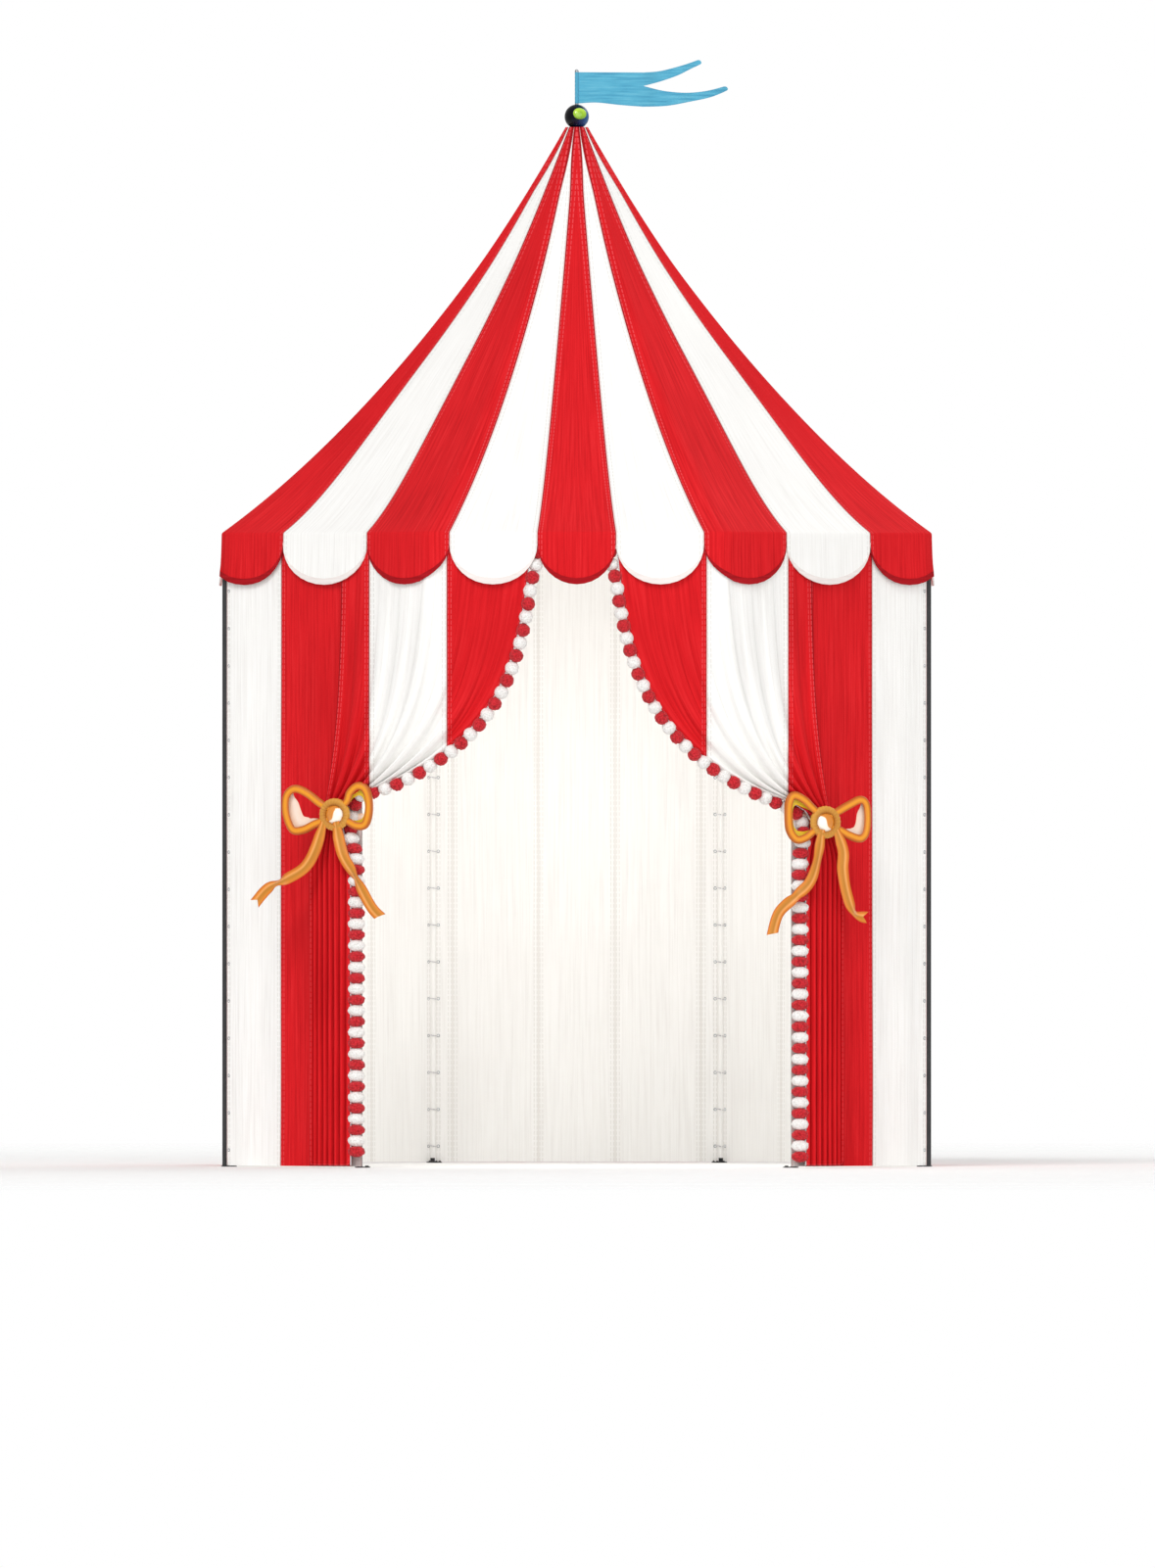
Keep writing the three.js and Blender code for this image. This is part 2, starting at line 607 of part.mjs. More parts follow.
// A swallowtail of cloth with a sleeve that turns on the staff.
function addPennant() {
  const at = (x, z) => new THREE.Vector2(x, z);
  const start = (SLEEVE_R + SLEEVE_BORE_R) / 2;
  const outline = new THREE.Shape();
  outline.moveTo(start, PENNANT_TOP);
  outline.lineTo(640, 9234);
  outline.splineThru([at(850, 9284), at(1045, 9338)]);
  outline.lineTo(1060, 9312);
  outline.splineThru([at(850, 9210), at(564, 9121)]);
  outline.splineThru([at(740, 9080), at(930, 9064), at(1100, 9078), at(1268, 9113)]);
  outline.lineTo(1282, 9092);
  outline.splineThru([at(1130, 9026), at(950, 8987), at(760, 8954), at(560, 8946), at(320, 8965), at(150, 8986)]);
  outline.lineTo(start, PENNANT_BOTTOM);
  const cloth = standing(outline, -PENNANT_T / 2, PENNANT_T / 2);
  const section = [
    [SLEEVE_BORE_R, PENNANT_BOTTOM],
    [SLEEVE_R, PENNANT_BOTTOM],
    [SLEEVE_R, PENNANT_TOP],
    [SLEEVE_BORE_R, PENNANT_TOP],
    [SLEEVE_BORE_R, PENNANT_BOTTOM],
  ];
  const sleeve = new THREE.LatheGeometry(plan(section), 2 * TUBE_SIDES).rotateX(Math.PI / 2);
  addMesh("pennant", geometryOf(solid(cloth).add(solid(sleeve))), "blue_pennant");
}

addRoofPanels();
addWalls();
addRoofFrame();
addPosts();
addDoorway();
addStaff(addFinial());
addPennant();

export default tent;
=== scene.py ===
# %% [markdown]
# A circus big top, six metres across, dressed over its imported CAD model. The steel, the canvas
# thickness and every height come from the CAD frame; this script gives the cloth its folds and
# hems, the trim its wool, and every surface its finish. All lengths are metres, Z is up, and
# the doorway faces -Y. Cells follow the order in which a tent is put up: frame, roof, walls,
# curtains, bows, and last the ball with its pennant.

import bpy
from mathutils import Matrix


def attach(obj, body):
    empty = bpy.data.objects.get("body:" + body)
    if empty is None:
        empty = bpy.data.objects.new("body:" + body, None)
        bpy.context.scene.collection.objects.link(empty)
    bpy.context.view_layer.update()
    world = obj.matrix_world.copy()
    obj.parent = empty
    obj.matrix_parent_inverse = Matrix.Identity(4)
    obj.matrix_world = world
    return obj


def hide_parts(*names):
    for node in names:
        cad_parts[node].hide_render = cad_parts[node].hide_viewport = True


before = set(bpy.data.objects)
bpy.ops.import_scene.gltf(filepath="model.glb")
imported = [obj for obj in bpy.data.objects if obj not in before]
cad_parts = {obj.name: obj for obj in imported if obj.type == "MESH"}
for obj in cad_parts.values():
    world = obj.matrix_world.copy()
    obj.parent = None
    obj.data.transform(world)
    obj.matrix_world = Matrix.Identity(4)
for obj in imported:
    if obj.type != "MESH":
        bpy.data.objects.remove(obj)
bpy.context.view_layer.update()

# %% [markdown]
# Python's own json, math and random serve the sizes file, the curves and the pompoms' turns.
# Blender's bpy makes the pieces, and mathutils brings vectors, matrices and smooth noise.

# %% Libraries
import math
import random

import bpy
from mathutils import Matrix, Vector, noise

# %% [markdown]
# The camera comes first, because it fixes what the picture shows. The picture was drawn square
# on, with no vanishing lines, so a level camera with a long lens far away gives the same view.

# %% Camera
CAMERA_PLACE = (0.0065, -400.0, 3.223)
PICTURE_HEIGHT = 13.25  # what the long side of the picture spans at the tent, in metres
SENSOR = 36.0

camera_data = bpy.data.cameras.new("camera")
camera_data.sensor_width = SENSOR
camera_data.lens = SENSOR * -CAMERA_PLACE[1] / PICTURE_HEIGHT
camera_data.clip_start = 1.0
camera_data.clip_end = 1500.0
camera = bpy.data.objects.new("camera", camera_data)
camera.location = CAMERA_PLACE
camera.rotation_euler = (math.pi / 2, 0.0, 0.0)
bpy.context.scene.collection.objects.link(camera)
bpy.context.scene.camera = camera
bpy.context.scene.view_settings.view_transform = "Standard"
print("lens", round(camera_data.lens, 1), "mm")

# %% [markdown]
# These sizes repeat the CAD's, so that cloth lies on the steel that carries it. A stripe keeps
# its place along the eave, p, which runs anticlockwise from the middle of the doorway.

# %% The tent's own sizes
BAYS = 8
GORES = 3 * BAYS
HALF_BAY = math.pi / BAYS
EAVE_R = 3.0
CORNER_U = EAVE_R * math.tan(HALF_BAY)
EAVE_Z = 5.340
EAVE_SLOPE = 0.72
CROWN_SLOPE = 1.62
CROWN_R = 0.060
CUSP_Z = 5.240
SCALLOP_DROP = 0.340
RING_R = 2.9637
RING_Z = 5.3214
RING_TUBE_R = 0.024
TUBE_R = 0.0212
CLOTH = 0.003  # thickness of the canvas as sewn
STRIPE_WIDTHS = [0.662, 0.739, 2 * CORNER_U - 1.57, 1.0, 2 * CORNER_U - 1.57, 0.739]
STRIPE_EDGES = [-STRIPE_WIDTHS[0] / 2]
for number in range(GORES):
    STRIPE_EDGES.append(STRIPE_EDGES[-1] + STRIPE_WIDTHS[number % 6])
print("stripes", len(STRIPE_EDGES) - 1, "round an eave of", round(STRIPE_EDGES[-1] - STRIPE_EDGES[0], 3))


def bay_point(bay, u, r, z):
    """A point given along a bay, out from the axis and up."""
    a = -math.pi / 2 + bay * 2 * HALF_BAY
    return Vector((r * math.cos(a) - u * math.sin(a), r * math.sin(a) + u * math.cos(a), z))


def roof_height(r):
    d = EAVE_R - r
    return EAVE_Z + EAVE_SLOPE * d + (CROWN_SLOPE - EAVE_SLOPE) * d * d / (2 * EAVE_R)


def roof_slope(r):
    return EAVE_SLOPE + (CROWN_SLOPE - EAVE_SLOPE) * (EAVE_R - r) / EAVE_R


def smooth(t):
    t = min(1.0, max(0.0, t))
    return t * t * (3 - 2 * t)


def mix(a, b, t):
    return a + (b - a) * t


def wander(x, y, z=0.0):
    """Smooth unevenness between -1 and 1, the same in every run."""
    return noise.noise(Vector((x, y, z)))


# %% [markdown]
# A handful of helpers stand for what hands do in Blender: pick one piece, apply a modifier,
# join pieces, and hand the finished piece to its CAD body with its material slot.

# %% Handling pieces
def pick(*pieces):
    bpy.ops.object.select_all(action="DESELECT")
    for piece in pieces:
        piece.select_set(True)
    bpy.context.view_layer.objects.active = pieces[0]
    return pieces[0]


def apply(piece, kind, **settings):
    pick(piece)
    modifier = piece.modifiers.new(kind, kind)
    for key, value in settings.items():
        setattr(modifier, key, value)
    bpy.ops.object.modifier_apply(modifier=modifier.name)
    return piece


def settle(piece):
    """Puts a piece's place, turn and size into its mesh."""
    pick(piece)
    bpy.ops.object.transform_apply(location=True, rotation=True, scale=True)
    return piece


def join(name, pieces):
    joined = pick(*pieces)
    if len(pieces) > 1:
        bpy.ops.object.join()
    joined.name = name
    return joined


def outwards(piece):
    """Turns every closed shell's faces out, once its doubles are merged."""
    pick(piece)
    bpy.ops.object.mode_set(mode="EDIT")
    bpy.ops.mesh.select_all(action="SELECT")
    bpy.ops.mesh.remove_doubles(threshold=0.00002)
    bpy.ops.mesh.normals_make_consistent(inside=False)
    bpy.ops.object.mode_set(mode="OBJECT")
    return piece


def soften(piece, degrees=40):
    pick(piece)
    bpy.ops.object.shade_smooth_by_angle(angle=math.radians(degrees), keep_sharp_edges=False)
    return piece


def dress(piece, name, materials, body="tent", stands_for=()):
    """Names a piece, gives it its finish, and hands it to the CAD body that carries it."""
    piece.name = name
    piece.data.name = name
    for material in materials:
        piece.data.materials.append(material)
    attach(piece, body)
    if stands_for:
        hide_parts(*stands_for)
    return piece


# %% [markdown]
# Cloth starts as Blender's own grid, one quad for every step across and up, and each corner is
# then moved to where the sewn cloth would be. The grid keeps a flat pattern in its UV map, in
# metres, so that weave and stitching follow the cloth, and an attribute, seam, that holds each
# point's distance from the nearest seam.

# %% Sheets of cloth
def cloth_grid(name, columns, rows, place):
    """place(column, row) gives a point, its flat pattern (u, v) and its distance from a seam."""
    bpy.ops.object.select_all(action="DESELECT")
    bpy.ops.mesh.primitive_grid_add(
        x_subdivisions=len(columns) - 1, y_subdivisions=len(rows) - 1, size=2
    )
    sheet = bpy.context.object
    sheet.name = name
    mesh = sheet.data
    uv = mesh.uv_layers.active or mesh.uv_layers.new(name="UVMap")
    seam = mesh.attributes.new("seam", "FLOAT", "POINT")
    flat = []
    for vertex in mesh.vertices:
        i = round((vertex.co.x + 1) / 2 * (len(columns) - 1))
        j = round((vertex.co.y + 1) / 2 * (len(rows) - 1))
        point, pattern, distance = place(columns[i], rows[j])
        vertex.co = point
        flat.append(pattern)
        seam.data[vertex.index].value = distance
    for loop in mesh.loops:
        uv.data[loop.index].uv = flat[loop.vertex_index]
    return sheet


def back_with_lining(sheet, materials, linings=1, thickness=CLOTH):
    """Gives a sheet its thickness inwards. The inner face takes the material linings places on."""
    for material in materials:
        sheet.data.materials.append(material)
    apply(sheet, "SOLIDIFY", thickness=thickness, offset=-1.0, material_offset=linings)
    return sheet


def steps(start, end, count):
    return [start + (end - start) * i / count for i in range(count + 1)]


# %% [markdown]
# Colours are written as the sRGB hex values that a paint chart gives, and one function turns
# them linear, which is what the shader wants. One small function adds a node with its settings
# and links: a number or a capitalised name is an input, and a small letter starts a property.

# %% Colour and nodes
def colour(code):
    channels = [int(code[i : i + 2], 16) / 255 for i in (1, 3, 5)]
    linear = [c / 12.92 if c <= 0.04045 else ((c + 0.055) / 1.055) ** 2.4 for c in channels]
    return (*linear, 1.0)


def add(tree, kind, settings=None, links=None):
    node = tree.nodes.new(kind)
    for key, value in (settings or {}).items():
        if key == "ramp":
            bands = node.color_ramp.elements
            while len(bands) < len(value):
                bands.new(0.5)
            for band, (place, code) in zip(bands, value):
                band.position = place
                band.color = colour(code)
        elif isinstance(key, int) or key[0].isupper():
            node.inputs[key].default_value = value
        else:
            setattr(node, key, value)
    for key, socket in (links or {}).items():
        tree.links.new(socket, node.inputs[key])
    return node


def start_finish(name, **surface):
    """A new material and its shader, with the shader's own sockets set."""
    material = bpy.data.materials.new(name)
    material.use_nodes = True
    shader = material.node_tree.nodes["Principled BSDF"]
    for key, value in surface.items():
        shader.inputs[key.replace("_", " ")].default_value = value
    return material, material.node_tree, shader


# %% [markdown]
# Tent canvas is dyed cotton duck: a plain weave of thick uneven yarn, dull, with a faint fuzz
# that catches light at a slant. Slubs in the warp give streaks down each gore. A real thread is
# about 0.8 mm, too fine to show in a picture of the whole tent, so the weave is drawn at 9 mm
# and the slubs at about 20 mm. Seams are lapped and sewn twice, and each stitch is drawn 33 mm
# long with a gap of 13 mm, so that it can be seen. The two rows lie 12 and 36 mm from the edge.

# %% Canvas
WEAVE = 0.009
SLUB = 0.020
STITCH = 0.046  # one stitch and the gap after it
HALF_GAP = 0.14  # as a share of that
FIRST_ROW = 0.012  # from the edge to the middle of the first row, and half of what parts the rows
ROW_EDGE = 0.0085  # a row shows between this distance and its mirror image
SEWN_WITHIN = 0.042


def canvas(name, dark, mid, light, seam, thread):
    material, tree, shader = start_finish(name, Roughness=0.85, Specular_IOR_Level=0.12)
    at = add(tree, "ShaderNodeTexCoord")
    along = add(tree, "ShaderNodeMapping", {"Scale": (1 / SLUB, 1.1, 1.0)}, {"Vector": at.outputs["UV"]})
    slubs = add(
        tree,
        "ShaderNodeTexNoise",
        {"Scale": 1.0, "Detail": 4.0, "Roughness": 0.62},
        {"Vector": along.outputs[0]},
    )
    dyed = add(
        tree,
        "ShaderNodeValToRGB",
        {"ramp": [(0.30, dark), (0.52, mid), (0.74, light)]},
        {"Fac": slubs.outputs["Fac"]},
    )
    broad = add(
        tree, "ShaderNodeTexNoise", {"Scale": 0.9, "Detail": 3.0}, {"Vector": at.outputs["Object"]}
    )
    faded = add(
        tree,
        "ShaderNodeMix",
        {"data_type": "RGBA", "blend_type": "MIX", "B": colour(dark)},
        {"A": dyed.outputs["Color"]},
    )
    fade = add(
        tree,
        "ShaderNodeMapRange",
        {"From Min": 0.45, "From Max": 0.75, "To Min": 0.0, "To Max": 0.45},
        {"Value": broad.outputs["Fac"]},
    )
    tree.links.new(fade.outputs[0], faded.inputs["Factor"])
    edge = add(tree, "ShaderNodeAttribute", {"attribute_name": "seam"})
    lap = add(
        tree,
        "ShaderNodeMapRange",
        {"From Min": 0.004, "From Max": 0.013, "To Min": 0.75, "To Max": 0.0},
        {"Value": edge.outputs["Fac"]},
    )
    lapped = add(
        tree,
        "ShaderNodeMix",
        {"data_type": "RGBA", "B": colour(seam)},
        {"A": faded.outputs["Result"], "Factor": lap.outputs[0]},
    )
    split = add(tree, "ShaderNodeSeparateXYZ", {}, {"Vector": at.outputs["UV"]})
    beat = add(tree, "ShaderNodeMath", {"operation": "PINGPONG", 1: STITCH / 2}, {0: split.outputs["Y"]})
    dash = add(
        tree,
        "ShaderNodeMath",
        {"operation": "GREATER_THAN", 1: STITCH * HALF_GAP},
        {0: beat.outputs[0]},
    )
    row = add(
        tree,
        "ShaderNodeMath",
        {"operation": "PINGPONG", 1: FIRST_ROW},
        {0: edge.outputs["Fac"]},
    )
    near = add(
        tree,
        "ShaderNodeMath",
        {"operation": "LESS_THAN", 1: SEWN_WITHIN},
        {0: edge.outputs["Fac"]},
    )
    on_row = add(
        tree,
        "ShaderNodeMath",
        {"operation": "GREATER_THAN", 1: ROW_EDGE},
        {0: row.outputs[0]},
    )
    sewn = add(
        tree,
        "ShaderNodeMath",
        {"operation": "MULTIPLY"},
        {0: near.outputs[0], 1: on_row.outputs[0]},
    )
    stitch = add(
        tree,
        "ShaderNodeMath",
        {"operation": "MULTIPLY"},
        {0: sewn.outputs[0], 1: dash.outputs[0]},
    )
    shown = add(tree, "ShaderNodeMath", {"operation": "MULTIPLY", 1: 0.55}, {0: stitch.outputs[0]})
    threaded = add(
        tree,
        "ShaderNodeMix",
        {"data_type": "RGBA", "B": colour(thread)},
        {"A": lapped.outputs["Result"], "Factor": shown.outputs[0]},
    )
    tree.links.new(threaded.outputs["Result"], shader.inputs["Base Color"])
    weave = add(
        tree, "ShaderNodeMapping", {"Scale": (1 / WEAVE, 1 / WEAVE, 1.0)}, {"Vector": at.outputs["UV"]}
    )
    yarn = add(
        tree,
        "ShaderNodeTexNoise",
        {"Scale": 1.0, "Detail": 2.0, "Roughness": 0.7},
        {"Vector": weave.outputs[0]},
    )
    grain = add(
        tree,
        "ShaderNodeMix",
        {"data_type": "FLOAT", 0: 0.45},
        {2: slubs.outputs["Fac"], 3: yarn.outputs["Fac"]},
    )
    lifted = add(
        tree,
        "ShaderNodeMath",
        {"operation": "MULTIPLY_ADD", 1: -0.35},
        {0: stitch.outputs[0], 2: grain.outputs[0]},
    )
    bump = add(
        tree,
        "ShaderNodeBump",
        {"Strength": 0.5, "Distance": 0.006},
        {"Height": lifted.outputs[0]},
    )
    tree.links.new(bump.outputs[0], shader.inputs["Normal"])
    return material


RED_DUCK = canvas("dyed_duck_red", "#BE1219", "#D81B22", "#E42A2F", "#7E0A12", "#EE5D62")
WHITE_DUCK = canvas("bleached_duck_white", "#ECEAE7", "#F7F6F3", "#FCFBFA", "#D9B9B6", "#CFCBC4")
LINING = canvas("bleached_duck_lining", "#EDEBE8", "#F6F5F2", "#FAF9F7", "#E4E1DC", "#D8D5CF")
# The dark red binding is real tape, and its widening at the bottom of each red scallop is painted shade
# under the scallop.
RED_BINDING_AND_PAINTED_SHADE = canvas("herringbone_binding_dark_red_and_painted_shade", "#8E0C14", "#A5121B", "#B71C25", "#64060C", "#C8383F")
PALE_BINDING = canvas("herringbone_binding_pale", "#E2D9D5", "#ECE4E0", "#F3EEEA", "#D0A9A7", "#D6CBC6")
print("cloth finishes", [m.name for m in (RED_DUCK, WHITE_DUCK, LINING, RED_BINDING_AND_PAINTED_SHADE, PALE_BINDING)])

# %% [markdown]
# The roof is sewn from twenty-four gores, red and white by turns. Each runs in one piece from
# the crown over the rafters, turns down round the eave ring, and hangs as a scallop. The red
# gores taper less than the white ones, so that red prevails under the ball, and in the four
# corner bays the seams lean towards the tent's sides on their way up. Cloth between two rafters
# sags a little under its own weight, and the free scallops swing in and out.

# %% Roof gores
FOLD_R = RING_TUBE_R + 0.0003 + CLOTH
CLOTH_INSET = 0.009  # the sewn cloth lies this far inside the CAD canvas's outside face
ROOF_SAG = 0.030
LIFT_R = 0.85  # from here the cloth is drawn up to the collar under the ball
CROWN_LIFT = 0.092
CROWN_EDGE = 0.102
RED_GAIN = 0.090  # how far each red gore spreads past its even share towards the crown
PINCH = 0.26  # and how much further round the crown, where the white gores end in points
PINCH_R = 0.46
SEAM_LEAN = {3: 0.22, 4: 0.31, 9: -0.31, 10: -0.22, 15: 0.22, 16: 0.31, 21: -0.31, 22: -0.22}
LEAN_RUN = 1.6  # the lean is complete this far in from the eave, and gone again at the crown
BINDING_LAP = 0.003


def scallop_edge(p, start, end):
    x = (2 * p - start - end) / (end - start)
    return CUSP_Z - SCALLOP_DROP * math.sqrt(max(0.0, 1 - x * x))


def valance_radius(p, z):
    """How far from the axis the hanging cloth is, square to its bay."""
    f = max(0.0, (RING_Z - z) / (RING_Z - CUSP_Z + SCALLOP_DROP))
    swing = 0.010 * wander(p * 1.9, 3.1) + 0.006 * math.sin(p * 9.0)
    return RING_R + FOLD_R + 0.016 * f * f + swing * f


def next_hip(p):
    """The first hip anticlockwise of a place on the eave."""
    return 2 * CORNER_U * (math.floor(p / (2 * CORNER_U) + 0.5) + 0.5)


def seam_at(number, r):
    """Where a seam runs at a distance from the axis. An even seam starts a red gore."""
    near_crown = smooth((PINCH_R - r) / (PINCH_R - CROWN_EDGE))
    grow = RED_GAIN * (1 - r / EAVE_R) ** 1.5 + PINCH * near_crown
    lean = SEAM_LEAN.get(number, 0.0) * smooth((EAVE_R - r) / LEAN_RUN) * (1 - near_crown)
    return STRIPE_EDGES[number] + lean + (grow if number % 2 else -grow)


def spread(p, r, k):
    """Carries a place on gore k along with its two seams, and leaves a hip where it is."""
    start, end = STRIPE_EDGES[k], STRIPE_EDGES[k + 1]
    low, high = seam_at(k, r), seam_at(k + 1, r)
    hip = next_hip(start)
    if not start < hip < end:
        return mix(low, high, (p - start) / (end - start))
    if p < hip:
        return mix(hip, low, (hip - p) / (hip - start))
    return mix(hip, high, (p - hip) / (end - hip))


def gore_point(p, station, k):
    part, value = station
    start, end = STRIPE_EDGES[k], STRIPE_EDGES[k + 1]
    bay = math.floor(p / (2 * CORNER_U) + 0.5)
    pattern = p
    if part == "roof":
        p = spread(p, value, k)
    q = p - 2 * CORNER_U * bay
    if part == "roof":
        angle = math.atan(roof_slope(value))
        rise = (EAVE_R - value) / (EAVE_R - CROWN_R)
        sag = ROOF_SAG * (1 - (q / CORNER_U) ** 2) * math.sin(math.pi * rise**0.8) * (1 - rise)
        ripple = 0.004 * wander(p * 3.0, value * 0.8) * math.sin(math.pi * rise)
        depth = CLOTH_INSET + sag + ripple
        r = value - depth * math.sin(angle)
        lift = CROWN_LIFT * (max(0.0, LIFT_R - value) / (LIFT_R - CROWN_EDGE)) ** 1.5
        z = roof_height(value) - depth * math.cos(angle) + lift
        v = (EAVE_R - value) * 1.55
    elif part == "fold":
        r = RING_R + FOLD_R * math.cos(value)
        z = RING_Z + FOLD_R * math.sin(value)
        v = FOLD_R * value
    else:
        z = RING_Z - value * (RING_Z - scallop_edge(p, start, end))
        r = valance_radius(p, z)
        v = z - RING_Z
    seam = min(pattern - start, end - pattern) * r / EAVE_R
    return bay_point(bay, q * r / EAVE_R, r, z), (pattern, v), seam


def binding_point(p, share, start, end):
    bay = math.floor(p / (2 * CORNER_U) + 0.5)
    q = p - 2 * CORNER_U * bay
    low = scallop_edge(p, start, end)
    # The binding widens towards the bottom of each scallop, and on the red gores this dark band is painted
    # shade.
    width = 0.014 + 0.036 * (CUSP_Z - low) / SCALLOP_DROP
    z = low - 0.002 + (width + 0.002) * share
    r = valance_radius(p, z) + BINDING_LAP
    return bay_point(bay, q * r / EAVE_R, r, z), (z, p), 0.02


def gore_columns(start, end, count=16):
    """Steps that crowd towards the seams, where a scallop is steep, with one on the hip."""
    columns = [mix(start, end, (1 - math.cos(math.pi * j / count)) / 2) for j in range(count + 1)]
    hip = next_hip(start)
    if start < hip < end:
        nearest = min(range(1, count), key=lambda j: abs(columns[j] - hip))
        columns[nearest] = hip
    return columns


def gore_area(k):
    """The flat area: the taper up the roof, and below the ring a straight band and a half oval."""
    rings = steps(CROWN_EDGE, EAVE_R, 60)
    strip = (EAVE_R - CROWN_EDGE) / len(rings)
    area = (STRIPE_EDGES[k + 1] - STRIPE_EDGES[k]) * (RING_Z - CUSP_Z + SCALLOP_DROP * math.pi / 4)
    for r in rings:
        width = (seam_at(k + 1, r) - seam_at(k, r)) * r / EAVE_R
        area += width * strip * math.hypot(1, roof_slope(r))
    return area


STATIONS = [("valance", f) for f in (1.0, 0.85, 0.7, 0.55, 0.4, 0.25, 0.1)]
STATIONS += [("fold", math.radians(a)) for a in (0, 18, 36)]
STATIONS += [("roof", r) for r in steps(2.985, LIFT_R, 32) + steps(LIFT_R, CROWN_EDGE, 14)[1:]]

gores = []
for k in range(GORES):
    start, end = STRIPE_EDGES[k], STRIPE_EDGES[k + 1]
    columns = gore_columns(start, end)
    red = k % 2 == 0
    finish = [RED_DUCK, LINING, RED_BINDING_AND_PAINTED_SHADE] if red else [WHITE_DUCK, LINING, PALE_BINDING]
    gore = cloth_grid("gore", columns, STATIONS, lambda p, s: gore_point(p, s, k))
    back_with_lining(gore, finish)
    binding = cloth_grid(
        "binding", columns, [0.0, 0.5, 1.0], lambda p, s: binding_point(p, s, start, end)
    )
    back_with_lining(binding, finish, linings=0, thickness=CLOTH + 2 * BINDING_LAP)
    for face in binding.data.polygons:
        face.material_index = 2
    gore = soften(join("gore", [gore, binding]), 50)
    bays = sorted({math.floor(p / (2 * CORNER_U) + 0.5) % BAYS for p in (start + 0.01, end - 0.01)})
    names = ["front", "front_right", "right", "rear_right", "rear", "rear_left", "left", "front_left"]
    dress(
        gore,
        f"roof_gore_{k + 1:02d}",
        [],
        stands_for=[f"roof_panel_{names[bay]}" for bay in bays],
    )
    round(gore_area(k), 3)
    gores.append(gore)
print("roof gores", len(gores), "faces each", len(gores[0].data.polygons))

# %% [markdown]
# Each wall is one sheet for a bay, sewn from the stripes that pass there, with the colours
# turned about: white under a red scallop and red under a white one. A white band runs down
# beside the doorway. The sheet hangs from the ring and is held by the posts at its ends, so it
# waves gently in between, and more towards the ground.

# %% Walls
WALL_BOTTOM = 0.010
WALL_TOP = RING_Z - RING_TUBE_R - 0.0003
WALL_END = TUBE_R + 0.005
DOOR_EDGE_U = 0.409
RING_CORNER_U = RING_R * math.tan(HALF_BAY)
DOOR_BAND_U = 0.200  # beside the doorway the wall is white as far as this
RED_EDGE_U = 0.546  # and red from there as far as this
WALL_NAMES = ["", "front_right", "right", "rear_right", "rear", "rear_left", "left", "front_left"]


def wall_seams(bay, start, end):
    """The wall's ends and the seams between its stripes, and whether it starts with white."""
    if bay == 1:
        return [start, -DOOR_BAND_U, RED_EDGE_U, end], True
    if bay == BAYS - 1:
        return [start, -RED_EDGE_U, DOOR_BAND_U, end], True
    places = [(edge - 2 * CORNER_U * bay) * RING_R / EAVE_R for edge in STRIPE_EDGES]
    before = sum(1 for q in places if q < start)
    return [start] + [q for q in places if start < q < end] + [end], before % 2 == 1


def wall_columns(seams):
    """Even steps of about 40 mm, with a step at each seam."""
    columns = seams[:1]
    for a, b in zip(seams, seams[1:]):
        columns += steps(a, b, max(1, round((b - a) / 0.04)))[1:]
    return columns


def wall_point(bay, q, z, seams):
    rise = (z - WALL_BOTTOM) / (WALL_TOP - WALL_BOTTOM)
    held = smooth((q - seams[0]) / 0.15) * smooth((seams[-1] - q) / 0.15)
    deep = mix(0.016, 0.003, rise) * held
    wave = math.sin(2 * math.pi * q / 0.46 + bay * 1.3 + 0.5 * wander(q, z * 0.5, bay))
    r = RING_R + CLOTH / 2 + deep * (0.75 * wave + 0.5 * wander(q * 3, z * 0.7, bay * 2.0))
    return bay_point(bay, q, r, z), (q, z), min(abs(q - s) for s in seams)


for bay in range(1, BAYS):
    start = -DOOR_EDGE_U if bay == 1 else WALL_END - RING_CORNER_U
    end = DOOR_EDGE_U if bay == BAYS - 1 else RING_CORNER_U - WALL_END
    seams, white_first = wall_seams(bay, start, end)
    heights = steps(WALL_BOTTOM, WALL_TOP, 44)
    wall = cloth_grid("wall", wall_columns(seams), heights, lambda q, z: wall_point(bay, q, z, seams))
    for material in (RED_DUCK, WHITE_DUCK, LINING, LINING):
        wall.data.materials.append(material)
    turn = Matrix.Rotation(-bay * 2 * HALF_BAY, 3, "Z")
    for face in wall.data.polygons:
        q = (turn @ face.center).x
        stripe = sum(1 for seam in seams[1:-1] if seam < q)
        face.material_index = 1 if (stripe % 2 == 0) == white_first else 0
    apply(wall, "SOLIDIFY", thickness=CLOTH, offset=-1.0, material_offset=2)
    soften(wall, 60)
    name = WALL_NAMES[bay]
    dress(wall, f"wall_cloth_{name}", [], stands_for=[f"wall_{name}"])
print("walls", BAYS - 1)

# %% [markdown]
# The doorway's curtains hang from the ring outside the walls, and each is gathered into a tie at
# the side post and falls from there to the ground. Every lengthwise thread is a curve from its
# place on the ring to the tie. Across the cloth the threads lie in seven soft folds, which are
# shallow under the valance and deep where the cloth is gathered. Their crests are rounded by
# sliding the threads sideways, as heavy cloth does.

